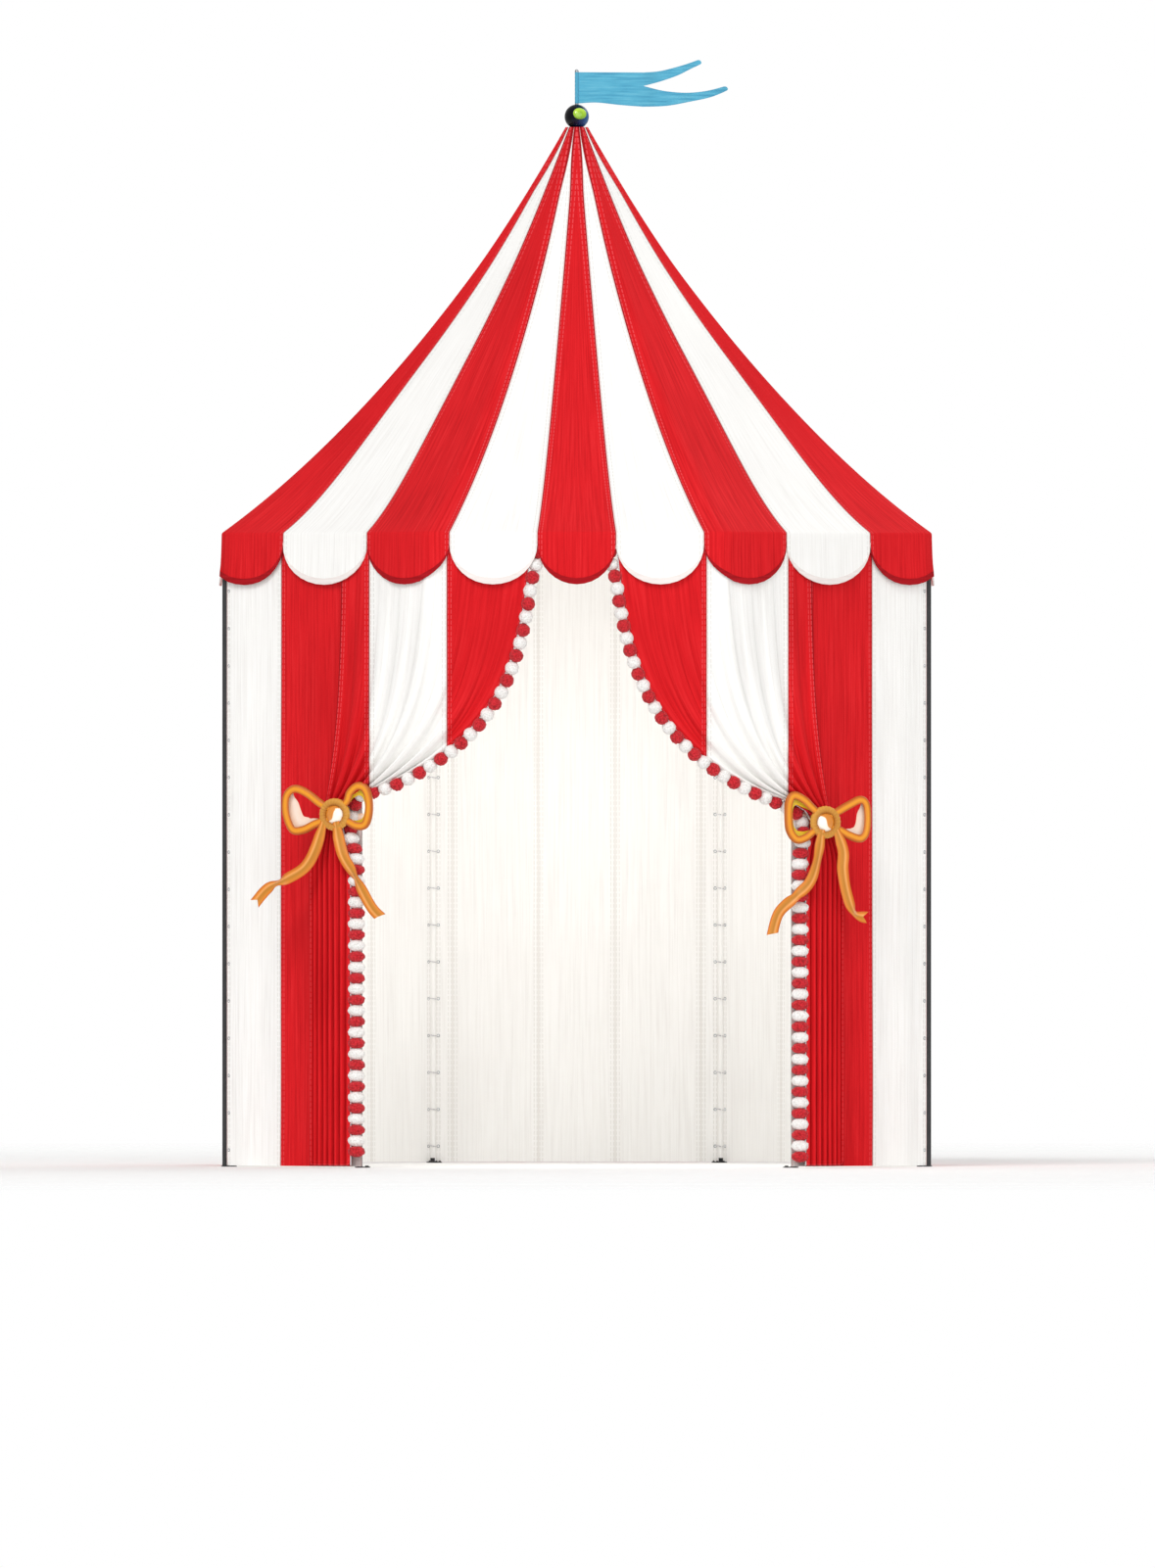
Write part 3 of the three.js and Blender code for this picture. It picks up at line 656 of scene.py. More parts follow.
# %% Curtain shape
CURTAIN_R = RING_R + 0.015
CURTAIN_PARTING = {1: 0.330, -1: 0.380}  # the left one is drawn a little further open
CURTAIN_END_U = -0.190
CURTAIN_TOP = 5.3094
CURTAIN_FOOT = 0.014
CURTAIN_FOLDS = 7.25
CURTAIN_WIDTH = 2.0  # of the flat cloth
NECK = {"u": -0.195, "r": 3.080, "z": 2.946, "wide": 0.090, "deep": 0.048}
FALL = {"u": -0.145, "r": 3.080, "wide": 0.215, "deep": 0.060, "spread": 0.400}
FALL_REACH = {1: 0.0, -1: 0.036}  # the left fall is drawn wider, towards the doorway
EDGE_LIFT = {1: (0.0, 0.045, 0.0), -1: (0.075, 0.060, 0.070)}  # at the tie, before it, and further off
RED_INSIDE = 1.09  # the curtain's own stripes change here, across the tent's front
RED_OUTSIDE = {1: 1.775, -1: 1.740}
TIE_NORMAL = bay_point(1, 0.0, 1.0, 0.0)


def curtain_top(s, side):
    corner = CURTAIN_R * math.tan(HALF_BAY)
    front = corner - CURTAIN_PARTING[side]
    along = s * (front + corner + CURTAIN_END_U)
    if along < front:
        place = bay_point(0, CURTAIN_PARTING[side] + along, CURTAIN_R, CURTAIN_TOP)
        return place, Vector((0.0, -1.0, 0.0))
    return bay_point(1, along - front - corner, CURTAIN_R, CURTAIN_TOP), TIE_NORMAL


def edge_lift(s, t, side):
    """The free edge runs level a little longer and then dips into the tie: three humps, added."""
    lift = 0.0
    for height, power in zip(EDGE_LIFT[side], (39, 19, 4)):
        peak = power / (power + 1)
        lift += height * t**power * (1 - t) / (peak**power * (1 - peak))
    return (1 - s) ** 2 * lift


def upper_thread(s, t, side):
    """A point of one thread between the ring and the tie, and the way the cloth faces there."""
    start, facing = curtain_top(s, side)
    end = bay_point(1, NECK["u"] + (2 * s - 1) * NECK["wide"], NECK["r"], NECK["z"])
    line = []
    for across, down in ((0.0, 0.0), (0.055, 0.56), (0.255, 0.79), (1.0, 1.0)):
        point = start.lerp(end, across)
        point.z = mix(CURTAIN_TOP, NECK["z"], down)
        line.append(point)
    a, b, c, d = line
    u = 1 - t
    point = a * u**3 + b * 3 * u * u * t + c * 3 * u * t * t + d * t**3
    point.z += edge_lift(s, t, side)
    return point, facing.lerp(TIE_NORMAL, smooth(t)).normalized()


def lower_thread(s, z, side):
    w = smooth((NECK["z"] - z) / FALL["spread"])
    u = mix(NECK["u"], FALL["u"], w) + (2 * s - 1) * mix(NECK["wide"], FALL["wide"], w)
    u -= FALL_REACH[side] * w * (1 - s)
    return bay_point(1, u, mix(NECK["r"], FALL["r"], w), z), w


def curtain_point(s, row, side):
    part, value = row
    drift = 0.05 * wander(s * 4.0, 2.0 * value) * min(1.0, 12 * s * (1 - s))
    turn = 2 * math.pi * CURTAIN_FOLDS * s + 2.2 * drift
    slide = s - 0.40 / (2 * math.pi * CURTAIN_FOLDS) * math.sin(2 * turn)
    if part == "upper":
        point, facing = upper_thread(slide, value, side)
        deep = mix(0.004, 0.042, smooth((value - 0.10) / 0.90))
    else:
        point, w = lower_thread(slide, value, side)
        facing = TIE_NORMAL
        room = mix(NECK["deep"], FALL["deep"], w) * math.sqrt(1 - w * 0.8 * (2 * s - 1) ** 2)
        deep = (room - 0.004) * (0.92 + 0.08 * wander(s * 5, value))
    point = point + facing * (deep * math.sin(turn))
    seam = min(s, 1 - s) * CURTAIN_WIDTH
    if part == "fall":
        seam = min(seam, point.z - CURTAIN_FOOT)
    return Vector((side * point.x, point.y, point.z)), (s * CURTAIN_WIDTH, point.z), seam


CURTAIN_ROWS = [("fall", z) for z in steps(CURTAIN_FOOT, NECK["z"], 52)]
CURTAIN_ROWS += [("upper", t) for t in steps(1.0, 0.002, 52)[1:]]
print("folds of about", round(1000 * CURTAIN_WIDTH / CURTAIN_FOLDS), "mm of cloth each")

# %% [markdown]
# A curtain is sewn from upright stripes: red at the doorway, white in the middle, and red at the
# post, where the gathered end falls. It is one layer of cloth dyed through, so it has the same
# stripes on its back. Two bisections cut the mesh exactly where the colours meet.

# %% Curtains
def stripe_distance(point, side):
    return min(abs(abs(point.x) - RED_INSIDE), abs(abs(point.x) - RED_OUTSIDE[side]))


for side, hand in ((1, "right"), (-1, "left")):
    columns = steps(0.0, 1.0, 104)
    if side < 0:
        columns.reverse()  # keeps the outside of the cloth outside in the mirrored curtain
    curtain = cloth_grid("curtain", columns, CURTAIN_ROWS, lambda s, row: curtain_point(s, row, side))
    pick(curtain)
    bpy.ops.object.mode_set(mode="EDIT")
    for cut in (RED_INSIDE, RED_OUTSIDE[side]):
        bpy.ops.mesh.select_all(action="SELECT")
        bpy.ops.mesh.bisect(plane_co=(side * cut, 0.0, 0.0), plane_no=(1.0, 0.0, 0.0))
    bpy.ops.object.mode_set(mode="OBJECT")
    seam = curtain.data.attributes["seam"]
    for vertex in curtain.data.vertices:
        if vertex.co.z > NECK["z"]:
            sewn_at = stripe_distance(vertex.co, side)
            seam.data[vertex.index].value = min(seam.data[vertex.index].value, sewn_at)
    for material in (RED_DUCK, WHITE_DUCK):
        curtain.data.materials.append(material)
    for face in curtain.data.polygons:
        face.material_index = 1 if RED_INSIDE < abs(face.center.x) < RED_OUTSIDE[side] else 0
    apply(curtain, "SOLIDIFY", thickness=CLOTH, offset=0.0)
    soften(curtain, 70)
    dress(curtain, f"curtain_cloth_{hand}", [], stands_for=[f"curtain_{hand}"])

# %% [markdown]
# The curtain's free edge is trimmed with woollen pompoms, red and white by turns, strung on
# a thin cord. A pompom is cut yarn: a ball of tufts with no hard edge, and no shine at all. Cells
# of about 14 mm give the tufts, raised in the middle by the bump and painted light in the middle
# and darker between them as painted shade, over a fine fuzz of yarn.

# %% Wool
def wool(name, dark, mid, light):
    material, tree, shader = start_finish(name, Roughness=1.0, Sheen_Weight=0.1)
    at = add(tree, "ShaderNodeTexCoord")
    tufts = add(
        tree, "ShaderNodeTexVoronoi", {"Scale": 70.0, "Randomness": 1.0}, {"Vector": at.outputs["Object"]}
    )
    yarn = add(
        tree, "ShaderNodeTexNoise", {"Scale": 160.0, "Detail": 3.0}, {"Vector": at.outputs["Object"]}
    )
    # Painted shade: each tuft is coloured light in its middle and dark where it meets the next.
    tone = add(
        tree,
        "ShaderNodeValToRGB",
        {"ramp": [(0.05, light), (0.45, mid), (0.85, dark)]},
        {"Fac": tufts.outputs["Distance"]},
    )
    tree.links.new(tone.outputs["Color"], shader.inputs["Base Color"])
    height = add(
        tree,
        "ShaderNodeMath",
        {"operation": "SUBTRACT"},
        {0: yarn.outputs["Fac"], 1: tufts.outputs["Distance"]},
    )
    bump = add(tree, "ShaderNodeBump", {"Strength": 0.8, "Distance": 0.008}, {"Height": height.outputs[0]})
    tree.links.new(bump.outputs[0], shader.inputs["Normal"])
    return material


RED_WOOL = wool("cut_wool_red", "#9C0E18", "#CC1724", "#DE3540")
WHITE_WOOL = wool("cut_wool_white", "#E2DEDA", "#F8F6F3", "#FFFFFF")

# %% [markdown]
# One ball is made from an icosphere, its tufts pushed in and out, and it is then copied with a
# new turn each time. The balls are set out by walking along the curtain's edge a pitch apart.
# Below the tie they hang closer and lie flatter, pressed together by the weight of the fall.

# %% Pompoms
UPPER_PITCH = {1: 0.106, -1: 0.112}  # from ball to ball, for each hand
LOWER_PITCH = 0.091
FIRST_POMPOM = 0.02  # from the top of the free edge
LOWEST_POMPOM = 0.060  # its middle, above the ground
BESIDE_EDGE = 0.035  # from the free edge to the middle of a ball

bpy.ops.object.select_all(action="DESELECT")
bpy.ops.mesh.primitive_ico_sphere_add(subdivisions=3, radius=1.0)
pompom = bpy.context.object
for vertex in pompom.data.vertices:
    tuft = 0.10 * wander(*(vertex.co * 3.3)) + 0.05 * wander(*(vertex.co * 9.0))
    vertex.co *= 1.0 + tuft
soften(pompom, 180)


def edge_walk(points, upper_pitch):
    """Places a pitch apart along a line of points."""
    places = []
    left = FIRST_POMPOM
    for a, b in zip(points, points[1:]):
        length = (b - a).length
        while left <= length:
            places.append(a.lerp(b, left / length))
            left += upper_pitch if places[-1].z > NECK["z"] else LOWER_PITCH
        left -= length
    return places


def pompom_line(side):
    """Centres, for the right hand. They sit back where the valance and the bow pass before them."""
    edge = [upper_thread(0.0, t, side)[0] for t in steps(0.03, 0.98, 200)]
    line = []
    for point, nearby in zip(edge, edge[1:]):
        along = (nearby - point).normalized()
        away = Vector((along.z, 0.0, -along.x)).normalized()
        back = smooth((point.z - 4.90) / 0.22)
        line.append(point + away * mix(BESIDE_EDGE, 0.062, back) + Vector((0.0, 0.056 * back - 0.012, 0.0)))
    beside = Vector((-0.047, 0.0, 0.0))
    line += [lower_thread(0.0, z, side)[0] + beside for z in steps(2.90, LOWEST_POMPOM, 200)]
    return [point - TIE_NORMAL * (0.045 * smooth(1.6 - abs(point.z - 2.97) / 0.12)) for point in line]


def pompom_places(side):
    for number, centre in enumerate(edge_walk(pompom_line(side), UPPER_PITCH[side])):
        fallen = smooth((2.86 - centre.z) / 0.15)
        squashed = Vector((0.073, 0.056, 0.051 - 0.004 * (number % 2 == 0)))
        yield centre, Vector((0.058, 0.056, 0.058)).lerp(squashed, fallen)


random.seed(7)
strings = {}
for side, hand in ((1, "right"), (-1, "left")):
    for number, (centre, size) in enumerate(pompom_places(side)):
        tint = "red" if number % 2 == 0 else "white"
        ball = pompom.copy()
        ball.data = pompom.data.copy()
        turn = Matrix.Rotation(random.uniform(0, 6.28), 4, Vector((random.random(), random.random(), 1.0)))
        place = Vector((side * centre.x, centre.y, centre.z))
        ball.data.transform(Matrix.Translation(place) @ Matrix.Diagonal((*size, 1.0)) @ turn)
        bpy.context.scene.collection.objects.link(ball)
        strings.setdefault((hand, tint), []).append(ball)
bpy.data.objects.remove(pompom)
for (hand, tint), balls in strings.items():
    count = len(balls)
    string = join("pompoms", balls)
    wool_used = RED_WOOL if tint == "red" else WHITE_WOOL
    dress(string, f"pompoms_{tint}_{hand}", [wool_used])
    print("pompoms", tint, hand, count)

# %% [markdown]
# The cord that strings them is a plain grey-white twist, five millimetres thick, sewn to the
# edge of the cloth. A curve with a round bevel gives it, and it is then made a mesh.

# %% Trim cord
def rod(name, points, radius, cyclic=False, sides=3):
    line = bpy.data.curves.new(name, "CURVE")
    line.dimensions = "3D"
    line.bevel_depth = radius
    line.bevel_resolution = sides
    line.use_fill_caps = True
    spline = line.splines.new("POLY")
    spline.points.add(len(points) - 1)
    for spot, point in zip(spline.points, points):
        spot.co = (*point, 1.0)
    spline.use_cyclic_u = cyclic
    piece = bpy.data.objects.new(name, line)
    bpy.context.scene.collection.objects.link(piece)
    pick(piece)
    bpy.ops.object.convert(target="MESH")
    return soften(bpy.context.object, 60)


trim, tree, shader = start_finish("twisted_cotton_cord", Roughness=0.9)
at = add(tree, "ShaderNodeTexCoord")
twist = add(
    tree,
    "ShaderNodeTexWave",
    {"Scale": 40.0, "Distortion": 1.0, "bands_direction": "DIAGONAL"},
    {"Vector": at.outputs["Object"]},
)
strand = add(
    tree,
    "ShaderNodeValToRGB",
    {"ramp": [(0.2, "#A9A8AC"), (0.8, "#E8E7E8")]},
    {"Fac": twist.outputs["Fac"]},
)
tree.links.new(strand.outputs["Color"], shader.inputs["Base Color"])
for side, hand in ((1, "right"), (-1, "left")):
    path = [upper_thread(0.0, t, side)[0] for t in steps(0.012, 0.985, 60)]
    path += [lower_thread(0.0, z, side)[0] for z in steps(2.90, 0.02, 40)]
    path = [Vector((side * p.x, p.y - 0.004, p.z)) for p in path]
    dress(rod("cord", path, 0.0055), f"trim_cord_{hand}", [trim])

# %% [markdown]
# A big satin bow covers each tie. Satin is woven with long floating threads, so it is smooth, and
# its selvedges are darker. The soft bright band lengthwise is a painted highlight in the colour,
# and on the loops a darker band where the gutter turns over is painted shade. The back of the
# ribbon is pale. The shader reads the position across the ribbon from the UV map, where v runs
# from one selvedge, 0, to the other, 1.

# %% Satin
def satin(name, across, roughness=0.42):
    material, tree, shader = start_finish(
        name, Roughness=roughness, Sheen_Weight=0.08, Specular_IOR_Level=0.36
    )
    at = add(tree, "ShaderNodeTexCoord")
    split = add(tree, "ShaderNodeSeparateXYZ", {}, {"Vector": at.outputs["UV"]})
    long = add(tree, "ShaderNodeMapping", {"Scale": (5.0, 14.0, 1.0)}, {"Vector": at.outputs["UV"]})
    floats = add(
        tree,
        "ShaderNodeTexNoise",
        {"Scale": 1.0, "Detail": 3.0, "Roughness": 0.6},
        {"Vector": long.outputs[0]},
    )
    shift = add(
        tree,
        "ShaderNodeMath",
        {"operation": "MULTIPLY_ADD", 1: 0.12, 2: -0.06},
        {0: floats.outputs["Fac"]},
    )
    place = add(tree, "ShaderNodeMath", {"operation": "ADD"}, {0: split.outputs["Y"], 1: shift.outputs[0]})
    tone = add(tree, "ShaderNodeValToRGB", {"ramp": across}, {"Fac": place.outputs[0]})
    tree.links.new(tone.outputs["Color"], shader.inputs["Base Color"])
    bump = add(
        tree, "ShaderNodeBump", {"Strength": 0.3, "Distance": 0.004}, {"Height": floats.outputs["Fac"]}
    )
    tree.links.new(bump.outputs[0], shader.inputs["Normal"])
    return material


# Painted light: the bright stop at 0.27 is a painted highlight, and the dark stops at 0.44 and 0.56, where
# the gutter turns over, are painted shade.
GOLD_SATIN_PAINTED_LIGHT = satin(
    "satin_ribbon_gold",
    [
        (0.0, "#B4580C"),
        (0.08, "#C4691A"),
        (0.15, "#E08818"),
        (0.27, "#EA9E22"),
        (0.37, "#DC8418"),
        (0.44, "#C06410"),
        (0.56, "#B05A0E"),
        (0.9, "#C87216"),
    ],
)
# Painted highlight: the pale stop at 0.66 is a painted highlight along each tail.
TAIL_SATIN_PAINTED_HIGHLIGHT = satin(
    "satin_ribbon_tail_painted_highlight",
    [
        (0.0, "#BC5C0F"),
        (0.12, "#DE8224"),
        (0.28, "#CA8226"),
        (0.48, "#BC781E"),
        (0.66, "#ECA55A"),
        (0.80, "#DE8222"),
        (1.0, "#C05E0E"),
    ],
)
PALE_SATIN = satin(
    "satin_ribbon_back",
    [(0.0, "#E9B496"), (0.3, "#F5D6C0"), (0.6, "#FAE6D6"), (1.0, "#EEC4A2")],
)
# Painted light: this yellow copy of the ribbon's back is the pale back painted as if in sunlight.
PAINTED_SUNLIT_SATIN_BACK = satin(
    "satin_ribbon_back_painted_sunlight",
    [(0.0, "#E8A91C"), (0.4, "#F0C824"), (0.8, "#F8E25E"), (1.0, "#F4D53A")],
)
KNOT_SATIN = satin(
    "satin_ribbon_knot",
    [(0.0, "#B3741F"), (0.35, "#C98628"), (0.6, "#DA9E3C"), (1.0, "#AC6A1A")],
    roughness=0.5,
)
# Painted highlight: the bead's glaze is orange, and the cream over one side is a painted highlight.
bead_glaze_and_painted_highlight, tree, shader = start_finish("glazed_bead_painted_highlight", Roughness=0.18, Coat_Weight=0.5)
highlight_side = add(tree, "ShaderNodeAttribute", {"attribute_name": "seam"})
highlight_half = add(
    tree,
    "ShaderNodeMapRange",
    {"From Min": -0.010, "From Max": 0.010},
    {"Value": highlight_side.outputs["Fac"]},
)
glaze = add(
    tree,
    "ShaderNodeValToRGB",
    {"ramp": [(0.0, "#FFF6EA"), (0.42, "#FFE9CC"), (0.6, "#E39238"), (1.0, "#D9862A")]},
    {"Fac": highlight_half.outputs[0]},
)
tree.links.new(glaze.outputs["Color"], shader.inputs["Base Color"])

# %% [markdown]
# Each bow was tied by hand, so the two differ a little in outline and in where the knot sits.
# The lines below are the middles of the ribbon, in millimetres from the knot, as seen from the
# front. The first list of a hand is the loop or tail towards the doorway's outer side.

# %% Bow frame and lines
BOW_FACING = Vector((math.cos(math.radians(-67.5)), math.sin(math.radians(-67.5)), 0.0))
BOW_ALONG = Vector((-BOW_FACING.y, BOW_FACING.x, 0.0))
BOW_PLACE = bay_point(1, NECK["u"], NECK["r"], NECK["z"]) + BOW_FACING * 0.0838
BOW_SHIFT = {1: (0.0, -0.045), -1: (-0.060, 0.020)}  # each knot was tied by hand, where it suited
LOOPS = {
    "right": [
        [(0, 25), (110, 90), (218, 148), (316, 190), (371, 152), (384, 32)]
        + [(369, -88), (316, -138), (218, -112), (122, -66), (0, -25)],
        [(0, 25), (-115, 118), (-189, 186), (-283, 228), (-330, 176), (-340, 60)]
        + [(-325, -69), (-263, -146), (-180, -130), (-110, -80), (0, -25)],
    ],
    "left": [
        [(0, 25), (126, 92), (254, 182), (358, 218), (430, 172), (449, 72)]
        + [(430, -40), (376, -132), (280, -128), (168, -78), (0, -25)],
        [(0, 25), (-105, 105), (-139, 186), (-205, 240), (-275, 222), (-312, 130)]
        + [(-312, 10), (-276, -86), (-200, -96), (-115, -58), (0, -25)],
    ],
}
TAILS = {
    "right": [
        [(90, -60), (150, -240), (150, -400), (190, -600), (260, -770), (375, -800)],
        [(-40, -60), (-90, -330), (-150, -500), (-270, -620), (-430, -760), (-500, -960)],
    ],
    "left": [
        [(90, -60), (160, -280), (260, -440), (430, -540), (600, -620), (720, -750)],
        [(-20, -60), (-80, -320), (-170, -480), (-330, -760), (-440, -870)],
    ],
}
TAIL_W = 0.096


def bow_point(x, y, z, side):
    across, up = BOW_SHIFT[side]
    point = BOW_PLACE + BOW_ALONG * (x + across) + BOW_FACING * z
    return Vector((side * point.x, point.y, point.z + y + up))


def smooth_line(points, count):
    """Even steps of a curve through the points, which are given as pairs or triples."""
    spots = [Vector((*p, 0.0)) if len(p) == 2 else Vector(p) for p in points]
    spans = len(spots) - 1
    line = []
    for i in range(count + 1):
        k = min(int(i / count * spans), spans - 1)
        t = i / count * spans - k
        before, a, b = spots[max(0, k - 1)], spots[k], spots[k + 1]
        after = spots[min(spans, k + 2)]
        m, n = (b - before) / 2, (after - a) / 2
        ends = a * (2 * t**3 - 3 * t * t + 1) + b * (3 * t * t - 2 * t**3)
        line.append(ends + m * (t**3 - 2 * t * t + t) + n * (t**3 - t * t))
    return line


def directions(line):
    return [(line[min(i + 1, len(line) - 1)] - line[max(i - 1, 0)]).normalized() for i in range(len(line))]


def lengths(line):
    total = [0.0]
    for a, b in zip(line, line[1:]):
        total.append(total[-1] + (b - a).length)
    return total


# %% [markdown]
# A loop is one length of ribbon that runs out from the knot and back. It is curled over lengthwise
# like a gutter, and past the gutter's foot its pale back shows inside the loop. A tail hangs in
# front, turns on itself once or twice, and ends in a slanted or a forked cut.

# %% Ribbon loops and tails
GUTTER = [(-38, 52), (-36, 55), (-29, 58), (-12, 60), (8, 60), (23, 58)]
GUTTER += [(32, 53), (36, 44), (36, 32), (31, 19), (20, 9), (4, 4)]
GUTTER_RUN = lengths([Vector((x, y, 0.0)) for x, y in GUTTER])
STRIP_ROWS = 4
FOCUS = {"right": [(0.213, 0.020), (-0.213, 0.034)], "left": [(0.226, 0.069), (-0.192, 0.048)]}


def ribbon_loop(corners, focus, turn, side):
    """turn is 1 where the line runs clockwise as seen from the front, and -1 otherwise.

    The pale back spreads from the gutter's foot towards focus, a spot in the loop's opening.
    """
    line = smooth_line([(x / 1000, y / 1000) for x, y in corners], 84)
    heading = directions(line)
    run = lengths(line)
    columns = list(range(len(line)))
    rows = list(range(len(GUTTER) + STRIP_ROWS))
    if turn * side < 0:
        rows.reverse()

    def place(i, j):
        outward = Vector((-heading[i].y, heading[i].x, 0.0)) * turn
        free = smooth(min(run[i], run[-1] - run[i]) / 0.16)
        lean = outward.dot(Vector((0.60, -0.80, 0.0)))
        reach = 0.08 + 0.50 * smooth((lean + 0.45) / 1.3) if turn > 0 else 0.42
        reach *= smooth(min(run[i], run[-1] - run[i]) / 0.30)
        if j < len(GUTTER):
            offset, z = GUTTER[j]
            across = GUTTER_RUN[j] / GUTTER_RUN[-1]
        else:
            offset, z = GUTTER[-1]
            z = mix(z, 14, (j - len(GUTTER) + 1) / STRIP_ROWS)
            across = 1 - 0.7 * (j - len(GUTTER) + 1) / STRIP_ROWS
        crease = 0.005 * (1 - free) * math.sin(9 * j / len(rows) + 5 * turn)
        crease += 0.003 * wander(run[i] * 6, j * 0.3)
        point = line[i] + outward * (offset / 1000 * mix(0.56, 0.90, free))
        if j >= len(GUTTER):
            far = line[i].lerp(Vector((*focus, 0.0)), reach)
            point = point.lerp(far, (j - len(GUTTER) + 1) / STRIP_ROWS)
        z = mix(0.026, z / 1000, mix(0.6, 1.0, free)) + crease
        return bow_point(point.x, point.y, z, side), (run[i], across), 0.0

    loop = cloth_grid("loop", columns, rows, place)
    # The inner loop's back takes the yellow copy, which is painted sunlight.
    for material in (GOLD_SATIN_PAINTED_LIGHT, PALE_SATIN if turn > 0 else PAINTED_SUNLIT_SATIN_BACK, TAIL_SATIN_PAINTED_HIGHLIGHT):
        loop.data.materials.append(material)
    apply(loop, "SOLIDIFY", thickness=0.0022, offset=-1.0, material_offset=1)
    return loop


def ribbon_tail(corners, twists, cut, side):
    line = smooth_line([(x / 1000, y / 1000) for x, y in corners], 64)
    heading = directions(line)
    run = lengths(line)
    columns = list(range(len(line)))
    rows = list(range(7))
    if side > 0:
        rows.reverse()

    def place(i, j):
        across = j / 6
        share = run[i] / run[-1]
        turn = sum(size * math.exp(-(((share - at) / wide) ** 2)) for size, at, wide in twists)
        beside = Vector((-heading[i].y, heading[i].x, 0.0))
        lie = beside * math.cos(turn) + Vector((0.0, 0.0, 1.0)) * math.sin(turn)
        spot = line[i] + lie * (TAIL_W * (across - 0.5)) * mix(0.62, 1.0, smooth(share / 0.15))
        z = spot.z + 0.060 + 0.008 * math.sin(7 * share) + 0.007 * math.sin(math.pi * across)
        if i > len(line) - 9:
            back = {"fork": 0.045 * (1 - abs(2 * across - 1)), "slant": 0.050 * across}[cut]
            spot = spot - heading[i] * back * (i - len(line) + 9) / 8
        return bow_point(spot.x, spot.y, z, side), (run[i], across), 0.0

    tail = cloth_grid("tail", columns, rows, place)
    for material in (GOLD_SATIN_PAINTED_LIGHT, PALE_SATIN, TAIL_SATIN_PAINTED_HIGHLIGHT):
        tail.data.materials.append(material)
    apply(tail, "SOLIDIFY", thickness=0.0022, offset=-1.0)
    for face in tail.data.polygons:
        face.material_index = 2
    return tail


TWISTS = {
    "right": [[(0.4, 0.35, 0.12), (-0.8, 0.86, 0.08)], [(0.95, 0.60, 0.07), (-0.4, 0.25, 0.10)]],
    "left": [[(0.5, 0.30, 0.10), (-1.0, 0.72, 0.07)], [(-0.7, 0.55, 0.08), (0.4, 0.2, 0.1)]],
}

# %% [markdown]
# A strap of the same ribbon goes round the gathered neck under the knot, and from its back to
# the jamb post, where it is looped on. It stands on edge, 56 mm high, and its pale side shows
# on the way to the post.

# %% Strap
STRAP_H = 0.056
JAMB_R = RING_R - 0.006 - 0.0003 - TUBE_R
JAMB_U = 0.360


def upright_band(line, side, cyclic=False):
    """Ribbon on edge along a line of (u, r) points in bay 1, half its height above and below."""
    run = lengths([Vector((u, r, 0.0)) for u, r in line])
    rows = list(range(6))
    if side < 0:
        rows.reverse()

    def place(i, j):
        u, r = line[i]
        share = j / 5
        pinch = 0.0025 * math.sin(60 * run[i]) * (2 * share - 1)
        point = bay_point(1, u, r, NECK["z"] + STRAP_H * (share - 0.5) + pinch)
        return Vector((side * point.x, point.y, point.z)), (run[i], share), 0.0

    band = cloth_grid("band", list(range(len(line))), rows, place)
    if cyclic:
        outwards(band)
    for material in (GOLD_SATIN_PAINTED_LIGHT, PALE_SATIN, TAIL_SATIN_PAINTED_HIGHLIGHT):
        band.data.materials.append(material)
    apply(band, "SOLIDIFY", thickness=0.003, offset=0.0)
    return band


def rounded_box(u, r, wide, deep, corner, count=8):
    line = []
    for number, (a, b) in enumerate(((1, -1), (1, 1), (-1, 1), (-1, -1))):
        for i in range(count + 1):
            angle = math.radians(-90 + 90 * number + 90 * i / count)
            line.append(
                (
                    u + a * (wide - corner) + corner * math.cos(angle),
                    r + b * (deep - corner) + corner * math.sin(angle),
                )
            )
    return line + line[:1]


def strap(side):
    ring = rounded_box(NECK["u"], NECK["r"], 0.0945, 0.0525, 0.034)
    back = NECK["r"] - 0.0525
    turns = [
        (NECK["u"], back - 0.001),
        (NECK["u"] - 0.06, back - 0.001),
        (-DOOR_EDGE_U - 0.006, RING_R + 0.016),
        (-DOOR_EDGE_U - 0.006, JAMB_R + 0.012),
        (-JAMB_U - TUBE_R - 0.003, JAMB_R + 0.002),
    ]
    run = [(p.x, p.y) for p in smooth_line([(u, r, 0.0) for u, r in turns], 40)]
    circle = [
        (-JAMB_U + (TUBE_R + 0.0035) * math.cos(a), JAMB_R + (TUBE_R + 0.0035) * math.sin(a))
        for a in steps(0.0, 2 * math.pi, 32)
    ]
    bands = [upright_band(ring, side, True), upright_band(run, side), upright_band(circle, side, True)]
    for band in bands[1:]:
        for face in band.data.polygons:
            face.material_index = 1
    return bands


# %% [markdown]
# The knot is ribbon wound into a ring, so it bulges and is pleated across, round a glazed orange
# bead, whose cream side is a painted highlight. A torus and a sphere are the starts for them: the
# torus is flattened and pleated, and the sphere pressed to a low dome.

# %% Knots and beads
KNOT_RING = 0.106
KNOT_ROUND = 0.031
KNOT_PLEATS = 26


